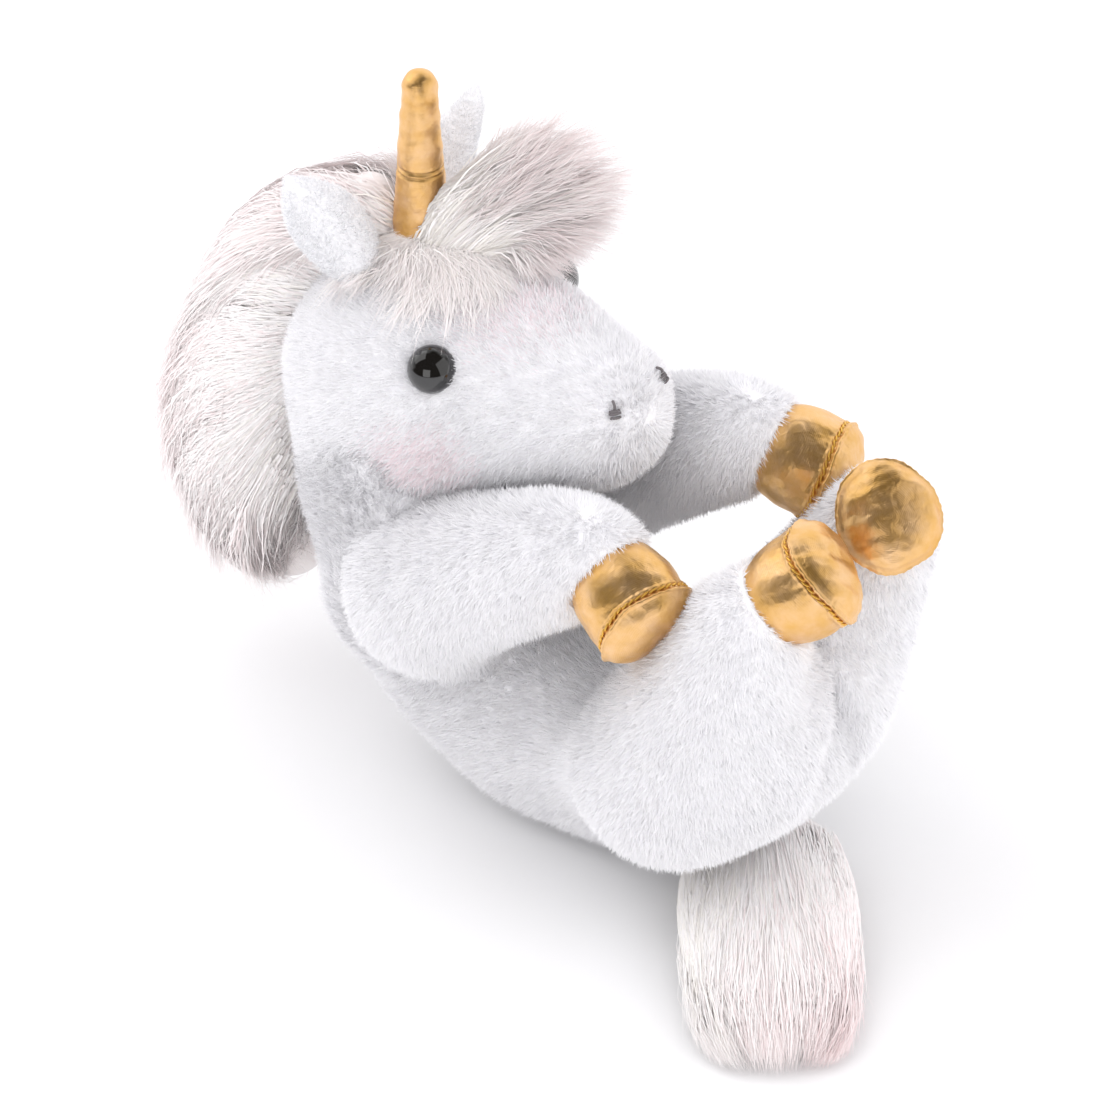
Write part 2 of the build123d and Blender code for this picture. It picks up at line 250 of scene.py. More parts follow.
@dataclass(frozen=True)
class Foil:
    """Gold foil printed on fine knit: metal with ribs, crackle and rubbed thin spots."""

    name: str = "gold_foil_knit"
    gold: tuple[float, float, float, float] = rgb(0.80, 0.47, 0.15)
    rubbed: tuple[float, float, float, float] = rgb(0.88, 0.58, 0.31)
    rib_pitch: float = 0.5  # millimetres

    def build(self, group: bpy.types.NodeTree) -> bpy.types.Material:
        """Make the foil. Its UV map is in millimetres: U around the piece and V along it.

        Args:
            group: The creased cloth group.

        Returns:
            The material.
        """
        material, nodes, shader = new_material(self.name)
        worn = material.node_tree.nodes.new("ShaderNodeGroup")
        worn.node_tree = group
        worn.inputs["Scale"].default_value = 140.0
        worn.inputs["Depth"].default_value = 1.0
        place = nodes.add("UVMap")
        split = nodes.add("SeparateXYZ")
        nodes.join(place.outputs["UV"], split.inputs["Vector"])
        turn = nodes.add("Math", operation="MULTIPLY")
        turn.inputs[1].default_value = 2 * math.pi / self.rib_pitch
        nodes.join(split.outputs["Y"], turn.inputs[0])
        rib = nodes.add("Math", operation="SINE")
        nodes.join(turn.outputs[0], rib.inputs[0])
        crackle = nodes.add("TexNoise", Scale=2600.0, Detail=2.0)
        where = nodes.add("TexCoord")
        nodes.join(where.outputs["Object"], crackle.inputs["Vector"])
        ribbed = nodes.add("Math", operation="MULTIPLY_ADD")
        ribbed.inputs[1].default_value = 0.35
        nodes.join(rib.outputs[0], ribbed.inputs[0])
        nodes.join(crackle.outputs["Fac"], ribbed.inputs[2])
        fine = nodes.add("Bump", Strength=0.32, Distance=0.00006)
        nodes.join(ribbed.outputs[0], fine.inputs["Height"])
        broad = nodes.add("Bump", Strength=0.35, Distance=0.0006)
        nodes.join(worn.outputs["Crease"], broad.inputs["Height"])
        nodes.join(fine.outputs["Normal"], broad.inputs["Normal"])
        nodes.join(broad.outputs["Normal"], shader.inputs["Normal"])
        ramp = nodes.add("ValToRGB")
        ramp.color_ramp.elements[0].position = 0.35
        ramp.color_ramp.elements[0].color = self.gold
        ramp.color_ramp.elements[1].position = 0.7
        ramp.color_ramp.elements[1].color = self.rubbed
        nodes.join(worn.outputs["Mottle"], ramp.inputs["Fac"])
        nodes.join(ramp.outputs["Color"], shader.inputs["Base Color"])
        rough = nodes.add("MapRange")
        rough.inputs["To Min"].default_value = 0.28
        rough.inputs["To Max"].default_value = 0.5
        nodes.join(crackle.outputs["Fac"], rough.inputs["Value"])
        nodes.join(rough.outputs["Result"], shader.inputs["Roughness"])
        shader.inputs["Metallic"].default_value = 1.0
        return material


@dataclass(frozen=True)
class Gloss:
    """Moulded or spun stuff of one colour with a wandering polish."""

    name: str
    colour: tuple[float, float, float, float]
    low: float
    high: float
    metallic: float = 0.0
    coat: float = 0.0

    def build(self) -> bpy.types.Material:
        """Make the material, with its roughness wandering between low and high."""
        material, nodes, shader = new_material(self.name)
        shader.inputs["Base Color"].default_value = self.colour
        shader.inputs["Metallic"].default_value = self.metallic
        shader.inputs["Coat Weight"].default_value = self.coat
        shader.inputs["Coat Roughness"].default_value = 0.03
        place = nodes.add("TexCoord")
        smear = nodes.add("TexNoise", Scale=400.0, Detail=3.0)
        span = nodes.add("MapRange")
        span.inputs["To Min"].default_value = self.low
        span.inputs["To Max"].default_value = self.high
        nodes.join(place.outputs["Object"], smear.inputs["Vector"])
        nodes.join(smear.outputs["Fac"], span.inputs["Value"])
        nodes.join(span.outputs["Result"], shader.inputs["Roughness"])
        return material


CLOTHS = (
    Cloth("plush_backing", rgb(0.91, 0.905, 0.925), rgb(0.95, 0.945, 0.955)),
    Cloth("hair_backing", rgb(0.93, 0.86, 0.85), rgb(0.96, 0.92, 0.90)),
    Cloth("polyester_filling", rgb(0.86, 0.86, 0.84), rgb(0.96, 0.96, 0.95), 0.95, 200.0),
)


class Wardrobe:
    """Every finish, built once."""

    def __init__(self) -> None:
        """Build the groups and materials."""
        group = cloth_group()
        self.plush = [tone.build() for tone in PLUSH_TONES]
        self.hair = [tone.build() for tone in HAIR_TONES]
        self.ear = [tone.build() for tone in EAR_TONES]
        self.backing, self.hair_backing, self.filling = (cloth.build(group) for cloth in CLOTHS)
        self.foil = Foil().build(group)
        self.thread = Gloss("gold_thread", rgb(0.83, 0.50, 0.10), 0.25, 0.5, metallic=0.85).build()
        self.grey_thread = Gloss("grey_thread", rgb(0.16, 0.145, 0.15), 0.6, 0.85).build()
        self.eye = Gloss("black_eye", rgb(0.006, 0.006, 0.007), 0.04, 0.09, coat=1.0).build()
        self.washer = Gloss("washer_plastic", rgb(0.8, 0.8, 0.8), 0.4, 0.6).build()


# ---------------------------------------------------------------------------------------------
# Surfaces


def unit(vectors: Array) -> Array:
    """Vectors scaled to length one along the last axis."""
    return vectors / np.maximum(np.linalg.norm(vectors, axis=-1, keepdims=True), 1e-9)


def swirl(points: Array, pitch: float, phase: float) -> Array:
    """A smooth wandering direction field: three sine products of the place over the pitch.

    Args:
        points: Places, (n, 3).
        pitch: The field's wavelength in millimetres.
        phase: Shifts the whole field, so that two fields differ.

    Returns:
        Vectors about one long, (n, 3).
    """
    p = points * (2 * math.pi / pitch) + phase
    x, y, z = p[..., 0], p[..., 1], p[..., 2]
    return np.stack(
        [
            np.sin(y * 1.3 + 0.7 * z) * np.cos(0.6 * x + z),
            np.sin(z * 1.1 + 0.9 * x) * np.cos(0.8 * y + x + 2.0),
            np.sin(x * 1.2 + 0.5 * y) * np.cos(0.7 * z + y + 4.0),
        ],
        axis=-1,
    )


def smooth_step(values: Array, low: float, high: float) -> Array:
    """Zero below low, one above high and an even S between."""
    t = np.clip((values - low) / (high - low), 0, 1)
    return t * t * (3 - 2 * t)


@dataclass
class Skin:
    """A closed triangle surface."""

    points: Array
    faces: Array
    uv: Array | None = None

    def normals(self) -> Array:
        """Outward unit normals at the points: face normals weighted by area."""
        a, b, c = (self.points[self.faces[:, i]] for i in range(3))
        face = np.cross(b - a, c - a)
        total = np.zeros_like(self.points)
        for i in range(3):
            np.add.at(total, self.faces[:, i], face)
        return unit(total)


def make_piece(
    name: str,
    points: Array,
    faces: Array,
    materials: list[bpy.types.Material],
    tones: Array | None = None,
    smooth: bool = True,
    uv: Array | None = None,
) -> bpy.types.Object:
    """Put a surface into a mesh object at the origin.

    Args:
        name: The piece's name.
        points: Vertices in millimetres, (n, 3).
        faces: Triangles or quads, (m, 3) or (m, 4).
        materials: The materials, in slot order.
        tones: Each face's material slot, or None for the first.
        smooth: Whether faces shade smoothly.
        uv: A UV place for each vertex, or None.

    Returns:
        The object, linked to the scene.
    """
    mesh = bpy.data.meshes.new(name)
    count, corners = faces.shape
    mesh.vertices.add(len(points))
    mesh.vertices.foreach_set("co", (points * MM).astype(np.float32).ravel())
    mesh.loops.add(count * corners)
    mesh.loops.foreach_set("vertex_index", faces.astype(np.int32).ravel())
    mesh.polygons.add(count)
    mesh.polygons.foreach_set("loop_start", np.arange(0, count * corners, corners, dtype=np.int32))
    if tones is not None:
        mesh.polygons.foreach_set("material_index", tones.astype(np.int32))
    mesh.update(calc_edges=True)
    mesh.polygons.foreach_set("use_smooth", np.full(count, smooth))
    if uv is not None:
        layer = mesh.uv_layers.new(name="surface")
        layer.data.foreach_set("uv", uv[faces.ravel()].astype(np.float32).ravel())
    for material in materials:
        mesh.materials.append(material)
    piece = bpy.data.objects.new(name, mesh)
    bpy.context.scene.collection.objects.link(piece)
    return piece


def carry(path: Array, radius: Array, around: int, squash: Array | None = None) -> Skin:
    """A closed tube: a circle of the given radius carried along a path, with a pole at each end.

    A point at turn v of ring u is P(u) + r(u) (cos v A(u) + q(u) sin v B(u)), where A is level and
    square to the path, B is square to both and q squashes the ring.

    Args:
        path: Ring centres, (m, 3).
        radius: Each ring's radius, (m,). The first and last rings close to their centres.
        around: Points in each ring.
        squash: Each ring's depth over its width, or None for round.

    Returns:
        The surface, with U in millimetres around and V in millimetres along.
    """
    along = unit(np.gradient(path, axis=0))
    level = np.cross(along, UP)
    weak = np.linalg.norm(level, axis=1) < 1e-3
    level[weak] = np.array([1.0, 0.0, 0.0])
    level = unit(level)
    flips = np.sign(np.sum(level[1:] * level[:-1], axis=1))
    level[1:] *= np.cumprod(np.where(flips == 0, 1, flips))[:, None]
    other = np.cross(level, along)
    turn = np.linspace(0, 2 * math.pi, around, endpoint=False)
    depth = np.ones(len(path)) if squash is None else squash
    ring = (
        np.cos(turn)[None, :, None] * level[:, None]
        + (depth[:, None] * np.sin(turn)[None])[..., None] * other[:, None]
    )
    points = path[:, None] + radius[:, None, None] * ring
    rings = len(path)
    grid = np.arange(rings * around).reshape(rings, around)
    a, b = grid[:-1], grid[1:]
    c, d = np.roll(b, -1, axis=1), np.roll(a, -1, axis=1)
    quads = np.stack([a, b, c, d], axis=-1).reshape(-1, 4)
    faces = np.concatenate([quads[:, [0, 1, 2]], quads[:, [0, 2, 3]]])
    poles = np.stack([path[0], path[-1]])
    low, high = rings * around, rings * around + 1
    first, last = grid[0], grid[-1]
    cap_low = np.stack([np.full(around, low), first, np.roll(first, -1)], axis=-1)
    cap_high = np.stack([np.full(around, high), np.roll(last, -1), last], axis=-1)
    run = np.concatenate([[0], np.cumsum(np.linalg.norm(np.diff(path, axis=0), axis=1))])
    u = np.broadcast_to(turn[None] * radius.max(), (rings, around))
    v = np.broadcast_to(run[:, None], (rings, around))
    uv = np.concatenate([np.stack([u, v], -1).reshape(-1, 2), [[0, 0], [0, run[-1]]]])
    flat = np.concatenate([points.reshape(-1, 3), poles])
    return Skin(flat, np.concatenate([faces, cap_low, cap_high]), uv)


def ring_faces(rings: int, around: int) -> tuple[Array, Array]:
    """Two triangles between each pair of neighbours on stacked rings.

    Args:
        rings: How many rings.
        around: Points in each ring.

    Returns:
        The triangles, (n, 3), and the grid of point numbers, (rings, around).
    """
    grid = np.arange(rings * around).reshape(rings, around)
    a, b = grid[:-1], grid[1:]
    c, d = np.roll(b, -1, axis=1), np.roll(a, -1, axis=1)
    quads = np.stack([a, d, c, b], axis=-1).reshape(-1, 4)
    return np.concatenate([quads[:, [0, 1, 2]], quads[:, [0, 2, 3]]]), grid


def ball_ended(
    path: Array, radius: Array, start_ball: bool, end_ball: bool, caps: int = 9
) -> tuple[Array, Array]:
    """A path and radii with round ends added: on a ball of radius r, a ring at s has sqrt(r2-s2).

    Args:
        path: Ring centres, (m, 3).
        radius: Ring radii, (m,).
        start_ball: Whether the start gets a round end.
        end_ball: Whether the end gets one.
        caps: Rings in each round end.

    Returns:
        The longer path and radii.
    """
    turn = np.linspace(0.06, math.pi / 2, caps, endpoint=False)
    parts, radii = [path], [radius]
    if start_ball:
        away = unit(path[0] - path[1])
        parts.insert(0, path[0] + away * (radius[0] * np.cos(turn))[:, None])
        radii.insert(0, radius[0] * np.sin(turn))
    if end_ball:
        away = unit(path[-1] - path[-2])
        parts.append(path[-1] + away * (radius[-1] * np.cos(turn[::-1]))[:, None])
        radii.append(radius[-1] * np.sin(turn[::-1]))
    return np.concatenate(parts), np.concatenate(radii)


def bezier(start: Array, middle: Array, end: Array, steps: int) -> Array:
    """Points on (1-t)^2 start + 2t(1-t) middle + t^2 end, for even t; inputs may be (n, 3)."""
    t = np.linspace(0, 1, steps)[:, None]
    if start.ndim == 2:
        start, middle, end = start[:, None], middle[:, None], end[:, None]
    return (1 - t) ** 2 * start + 2 * t * (1 - t) * middle + t**2 * end


@dataclass
class Blob:
    """A stuffed form as balls strung along a path, for measuring how near a place is to it."""

    path: Array
    radius: Array

    def distance(self, points: Array) -> Array:
        """How far each point is outside the nearest ball; negative inside."""
        apart = np.linalg.norm(points[:, None] - self.path[None], axis=2) - self.radius
        return apart.min(axis=1)


@dataclass
class Heart(Blob):
    """The dense inside of a length of hair: balls along a path, flattened one way."""

    flat: Array
    squash: float = 1.0

    def rounded(self, points: Array) -> Array:
        """Places as they would be were the form not flattened."""
        return points + (points @ self.flat)[..., None] * self.flat * (1 / self.squash - 1)

    def flattened(self, points: Array) -> Array:
        """The way back from rounded places."""
        return points + (points @ self.flat)[..., None] * self.flat * (self.squash - 1)

    def skin(self) -> Skin:
        """The form's closed surface, a little uneven."""
        path, radius = ball_ended(self.rounded(self.path), self.radius, True, True)
        skin = carry(path, radius, 48)
        skin.points = self.flattened(skin.points)
        skin.points += swirl(skin.points, 20.0, 3.3) * 0.7
        skin.points[:, 2] = np.maximum(skin.points[:, 2], FLOOR_GAP + 0.3)
        return skin

    def drape(self, paths: Array, low: Array, high: Array) -> Array:
        """Lay hairs on the form: each point's distance from it is held between two bounds.

        Args:
            paths: Hair paths, (n, k, 3).
            low: The least distance, (n, k).
            high: The greatest distance, (n, k).

        Returns:
            The moved paths.
        """
        points = self.rounded(paths.reshape(-1, 3))
        centres = self.rounded(self.path)
        apart = np.linalg.norm(points[:, None] - centres[None], axis=2) - self.radius
        near = apart.argmin(axis=1)
        way = points - centres[near]
        held = np.clip(apart[np.arange(len(near)), near], low.ravel(), high.ravel())
        points = centres[near] + unit(way) * (self.radius[near] + held)[:, None]
        return self.flattened(points).reshape(paths.shape)


def coat(heart: Heart, paths: Array, loft: float, free: float, rng: np.random.Generator) -> Array:
    """Lay hairs in a thin coat on a form, with their tips let go.

    At t along a hair, its distance is held between 0.2 + h loft and 0.6 + h loft + free t^3, for
    h at random.

    Args:
        heart: The form.
        paths: Hair paths.
        loft: The coat's thickness.
        free: How far the tips may stand off.
        rng: The seeded generator.

    Returns:
        The moved paths.
    """
    t = np.linspace(0, 1, paths.shape[1])[None]
    height = rng.random((len(paths), 1)) * loft + 0 * t
    return heart.drape(paths, 0.2 + height, 0.6 + height + free * t**3)


def nape(points: Array) -> Array:
    """Nought under the chin and one behind the cheeks, where the neck runs into the head."""
    return smooth_step(points[:, 1], 24.0, 46.0)


def off_floor(points: Array) -> Array:
    """Nought near the floor and one from there up, where the legs run into the body."""
    return smooth_step(points[:, 2], 12.0, 42.0)


def fillet(skin: Skin, others: list[Blob], width: float, fade: Array | None = None) -> None:
    """Swell a skin where it nears other forms, so that the crease between them fills in.

    Each point moves along its normal by t, where the soft minimum of t and the distance d to the
    other form is nought: min(t, d) - h^2 width / 4, with h = max(width - |t - d|, 0) / width.

    Args:
        skin: The surface, changed in place.
        others: The forms that it runs into.
        width: How wide the filled crease is.
        fade: How much of the swelling each point takes, or None for all.
    """
    normals = skin.normals()
    for other in others:
        shift = np.zeros(len(skin.points))
        for _ in range(6):
            away = other.distance(skin.points + normals * shift[:, None])
            soft = np.maximum(width - np.abs(shift - away), 0) / width
            level = np.minimum(shift, away) - soft**2 * width / 4
            shift = np.clip(shift - 0.8 * level, 0, width * 0.45)
        if fade is not None:
            shift = shift * fade
        skin.points = skin.points + normals * shift[:, None]


# ---------------------------------------------------------------------------------------------
# Plush and hair


@dataclass(frozen=True)
class Nap:
    """A cut pile: short fibres, their density in each square millimetre, lean and disorder."""

    length: float = 3.1
    width: float = 0.32
    density: float = 7.0
    lean: float = 50.0  # degrees from the surface's normal
    disorder: float = 0.26
    tufting: float = 0.17


Comb = Callable[[Array, Array], Array]


def grow_nap(
    skin: Skin, nap: Nap, comb: Comb, rng: np.random.Generator, hidden: list[Blob]
) -> tuple[Array, Array, Array]:
    """Stand short fibres all over a skin.

    A fibre is one blade from a short base across the comb direction to a tip at
    base + length * unit(cos(lean) normal + sin(lean) comb + tufting swirl + disorder noise).

    Args:
        skin: The surface to cover.
        nap: The pile's sizes.
        comb: Gives the way that the pile lies, from places and normals.
        rng: The seeded generator.
        hidden: Forms that cover the skin; no fibre grows where it is buried deep in one.

    Returns:
        Points, faces, and each fibre's root.
    """
    a, b, c = (skin.points[skin.faces[:, i]] for i in range(3))
    area = np.linalg.norm(np.cross(b - a, c - a), axis=1) / 2
    for form in hidden:
        area[form.distance((a + b + c) / 3) < -BURIED] = 0
    count = int(area.sum() * nap.density)
    chosen = rng.choice(len(area), count, p=area / area.sum())
    r, s = rng.random((2, count, 1))
    r, s = np.where(r + s > 1, 1 - r, r), np.where(r + s > 1, 1 - s, s)
    root = a[chosen] + r * (b - a)[chosen] + s * (c - a)[chosen]
    at = skin.normals()[skin.faces[chosen]]
    normal = unit(at[:, 0] * (1 - r - s) + at[:, 1] * r + at[:, 2] * s)
    flow = comb(root, normal)
    flow = unit(flow - normal * np.sum(flow * normal, axis=1, keepdims=True))
    lean = math.radians(nap.lean)
    tuft = nap.tufting * (swirl(root, 9.0, 1.0) + 0.8 * swirl(root, 4.1, 2.0))
    loose = nap.disorder * rng.standard_normal((count, 3))
    away = unit(math.cos(lean) * normal + math.sin(lean) * flow + tuft + loose)
    rise = np.sum(away * normal, axis=1, keepdims=True)
    away = unit(away + normal * np.maximum(0.22 - rise, 0))
    across = unit(np.cross(away, normal))
    roll = rng.normal(0, 0.35, (count, 1))
    across = np.cos(roll) * across + np.sin(roll) * np.cross(away, across)
    half = across * nap.width / 2
    length = nap.length * rng.uniform(0.6, 1.15, (count, 1))
    sunk = root - normal * 0.3
    points = np.stack([sunk - half, sunk + half, root + away * length], axis=1)
    points[..., 2] = np.maximum(points[..., 2], FLOOR_GAP)
    faces = np.arange(count * 3).reshape(count, 3)
    return points.reshape(-1, 3), faces, root


@dataclass
class Strands:
    """Long hairs as flat tapered ribbons."""

    paths: Array  # (n, k, 3)
    tones: Array  # (n, k - 1)
    width: float = 0.42

    def ribbons(self, facing: Array, rng: np.random.Generator) -> tuple[Array, Array, Array]:
        """Turn paths into ribbons that narrow to a point.

        Half-width at t is width/2 * (1 - t^2), and the ribbon lies across the path and the
        facing direction, rolled at random.

        Args:
            facing: The way that each ribbon's face looks, (n, 3).
            rng: The seeded generator.

        Returns:
            Points, triangles and their tones.
        """
        count, steps, _ = self.paths.shape
        along = unit(np.gradient(self.paths, axis=1))
        across = unit(np.cross(along, facing[:, None]))
        roll = rng.normal(0, 0.16, (count, 1, 1))
        across = np.cos(roll) * across + np.sin(roll) * np.cross(along, across)
        t = np.linspace(0, 1, steps)
        half = self.width / 2 * (1 - t**2.2) * rng.uniform(0.6, 1.3, (count, 1))
        left = self.paths - across * half[..., None]
        right = self.paths[:, :-1] + (across * half[..., None])[:, :-1]
        points = np.concatenate([left, right], axis=1)
        points[..., 2] = np.maximum(points[..., 2], FLOOR_GAP)
        per = 2 * steps - 1
        i = np.arange(steps - 2)
        one = np.stack([i, steps + i, steps + i + 1], -1)
        two = np.stack([i, steps + i + 1, i + 1], -1)
        tip = np.array([[steps - 2, 2 * steps - 2, steps - 1]])
        local = np.concatenate([one, two, tip])
        segment = np.concatenate([i, i, [steps - 2]])
        faces = (np.arange(count) * per)[:, None, None] + local[None]
        tones = self.tones[:, segment]
        return points.reshape(-1, 3), faces.reshape(-1, 3), tones.reshape(-1)


@dataclass(frozen=True)
class Bundle:
    """How hair gathers: locks, hairs in each, their spread, waviness and number of bends."""

    locks: int
    hairs: int
    root_spread: float = 1.6
    middle_spread: float = 2.6
    tip_spread: float = 2.2
    frizz: float = 1.2
    steps: int = 7
    width: float = 0.42


def comb_locks(
    bundle: Bundle, roots: Array, middles: Array, ends: Array, rng: np.random.Generator
) -> tuple[Array, Array]:
    """Fill each lock with hairs on quadratic curves near the lock's own.

    Args:
        bundle: The gathering.
        roots: Each lock's root, (locks, 3).
        middles: Each lock's control point.
        ends: Each lock's end.
        rng: The seeded generator.

    Returns:
        Hair paths, (locks * hairs, steps, 3), and each hair's lock.
    """
    lock = np.repeat(np.arange(bundle.locks), bundle.hairs)
    count = len(lock)
    spread = rng.standard_normal((3, count, 3))
    start = roots[lock] + spread[0] * bundle.root_spread
    middle = middles[lock] + spread[1] * bundle.middle_spread
    end = ends[lock] + spread[2] * bundle.tip_spread
    reach = rng.uniform(0.72, 1.08, (count, 1))
    end = start + (end - start) * reach
    middle = start + (middle - start) * reach
    paths = bezier(start, middle, end, bundle.steps)
    t = np.linspace(0, 1, bundle.steps)[None, :, None]
    wander = swirl(paths, 14.0, 3.0) + 0.6 * swirl(paths + lock[:, None, None] * 0.37, 6.0, 5.0)
    return paths + wander * bundle.frizz * t**1.3, lock


def hair_tones(
    warmth: Array, steps: int, fade: float, rng: np.random.Generator, top: int = 4
) -> Array:
    """Pick a tone for each stretch of each hair: warmth at the root plus fade towards the tip.

    Args:
        warmth: Each hair's tone at its root, from 0 for cream to 4 for rose.
        steps: Points in each hair.
        fade: How many tones warmer the tip is.
        rng: The seeded generator.
        top: The warmest tone allowed.

    Returns:
        Whole tone numbers, (n, steps - 1).
    """
    t = np.linspace(0, 1, steps - 1)[None]
    mix = warmth[:, None] + fade * t**1.2 + rng.normal(0, 0.55, (len(warmth), 1))
    return np.clip(np.rint(mix), 0, top).astype(int)


# ---------------------------------------------------------------------------------------------
# Sub-assemblies


def joint_place(name: str) -> Array:
    """A joint's centre in millimetres."""
    joint = next(j for j in frame["joints"] if j["name"] == name)
    return np.array(joint["pos_m"]) / MM


def node_centre(node: str) -> Array:
    """The middle of a frame node's box in millimetres."""
    low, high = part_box(node)
    return (np.array(low) + np.array(high)) / 2 / MM


def plush_tones(roots: Array, rng: np.random.Generator, blush: Array | None = None) -> Array:
    """A plush tone for each fibre, mostly white, in soft patches.

    Args:
        roots: Fibre roots.
        rng: The seeded generator.
        blush: The chance from 0 to 1 that each fibre is blushed, or None.

    Returns:
        Material slots.
    """
    patch = swirl(roots, 17.0, 6.0)[:, 0] * 0.12
    draw = rng.random(len(roots)) + patch
    tones = np.where(draw < 0.22, 2, np.where(draw > 0.62, 1, 0))
    if blush is not None:
        tones = np.where(rng.random(len(roots)) < blush, 3, tones)
    return tones


class Dresser:
    """What every sub-assembly shares: the finishes and a seeded generator for each piece."""

    def __init__(self, wardrobe: Wardrobe, seed: int) -> None:
        """Keep the finishes and seed the generator."""
        self.wardrobe = wardrobe
        self.rng = np.random.default_rng(seed)

    def skin(
        self, name: str, skin: Skin, body: str, slot: str, *nodes: str, fill: float = 0.85
    ) -> bpy.types.Object:
        """Make the backing cloth of a furred, stuffed part.

        Args:
            name: The piece's name.
            skin: Its surface.
            body: The body that it rides on.
            slot: The record's material slot; not used.
            nodes: The frame nodes that it replaces.
            fill: How tightly it is stuffed, from 0 to 1; not used.

        Returns:
            The piece.
        """
        points = skin.points.copy()
        points[:, 2] = np.maximum(points[:, 2], FLOOR_GAP + 0.3)
        piece = make_piece(name, points, skin.faces, [self.wardrobe.backing])
        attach(piece, body)
        if nodes:
            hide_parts(*nodes)
        LOG.info("%s: %d faces", name, len(skin.faces))
        return piece

    def nap(
        self,
        name: str,
        skin: Skin,
        nap: Nap,
        comb: Comb,
        body: str,
        blush: Callable[[Array], Array] | None = None,
        tones: list[bpy.types.Material] | None = None,
        slot: str = "white_plush",
        hidden: tuple[Blob, ...] = (),
    ) -> bpy.types.Object:
        """Make the pile over a skin.

        Args:
            name: The piece's name.
            skin: The surface it stands on.
            nap: The pile's sizes.
            comb: The way that it lies.
            body: The body that it rides on.
            blush: Gives each root's chance of a blushed fibre, or None.
            tones: Other materials than plush white, or None.
            slot: The record's material slot; not used.
            hidden: Forms that bury parts of the skin.

        Returns:
            The piece.
        """
        points, faces, roots = grow_nap(skin, nap, comb, self.rng, list(hidden))
        if tones is None:
            materials = self.wardrobe.plush
            index = plush_tones(roots, self.rng, blush(roots) if blush else None)
        else:
            materials = tones
            index = self.rng.integers(0, len(tones), len(roots))
        piece = make_piece(name, points, faces, materials, index, smooth=False)
        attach(piece, body)
        LOG.info("%s: %d faces", name, len(faces))
        return piece


@dataclass
class Torso:
    """The bent body, from rump to neck, round the open lap."""

    dresser: Dresser
    legs: list[Blob]
    head: Blob
    arc_radius: float = 59.0
    arc_height: float = 85.0
    hind_angle: float = 45.0
    neck_angle: float = 80.0
    rings: int = 90
    around: int = 72
    nap: Nap = Nap()

    def path(self) -> tuple[Array, Array]:
        """The body's centre-line, along its arc and then straight into the head, and its radii."""
        turn = np.radians(np.linspace(-self.hind_angle, self.neck_angle, self.rings))
        arc = np.stack(
            [
                np.zeros_like(turn),
                self.arc_radius * np.sin(turn),
                self.arc_height - self.arc_radius * np.cos(turn),
            ],
            axis=-1,
        )
        share = np.linspace(0, 1, self.rings)
        radius = 26.6 + 1.2 * np.sin(share * math.pi) - 1.2 * smooth_step(share, 0.8, 1.0)
        head = joint_place("head_nod")
        up = arc[-1] + (head - arc[-1]) * np.linspace(0.08, 0.55, 12)[:, None]
        radii = np.linspace(radius[-1], 24.5, 12)
        return ball_ended(np.concatenate([arc, up]), np.concatenate([radius, radii]), True, True)

    def comb(self, points: Array, normals: Array) -> Array:
        """The pile lies round the arc towards the rump, and a little downwards."""
        del normals
        out = points - np.array([0.0, 0.0, self.arc_height])
        out[:, 0] = 0
        return unit(np.cross(out, np.array([1.0, 0.0, 0.0]))) * -1.0 + np.array([0, 0, -0.25])

    def build(self) -> None:
        """Make the body's backing and its pile, in a left and a right half."""
        path, radius = self.path()
        skin = carry(path, radius, self.around)
        fillet(skin, self.legs, 26.0, off_floor(skin.points))
        fillet(skin, [self.head], 26.0, nape(skin.points))
        skin.points += swirl(skin.points, 60.0, 0.5) * 0.8
        skin.points[:, 2] = np.maximum(skin.points[:, 2], FLOOR_GAP + 0.3)
        self.dresser.skin("body_plush", skin, "torso", "white_plush", "body_cover")
        side = skin.points[skin.faces].mean(axis=1)[:, 0]
        for which in Side:
            half = Skin(skin.points, skin.faces[side * which.value > 0])
            name = f"body_pile_{which.word}"
            buried_in = (*self.legs, self.head)
            self.dresser.nap(name, half, self.nap, self.comb, "torso", hidden=buried_in)


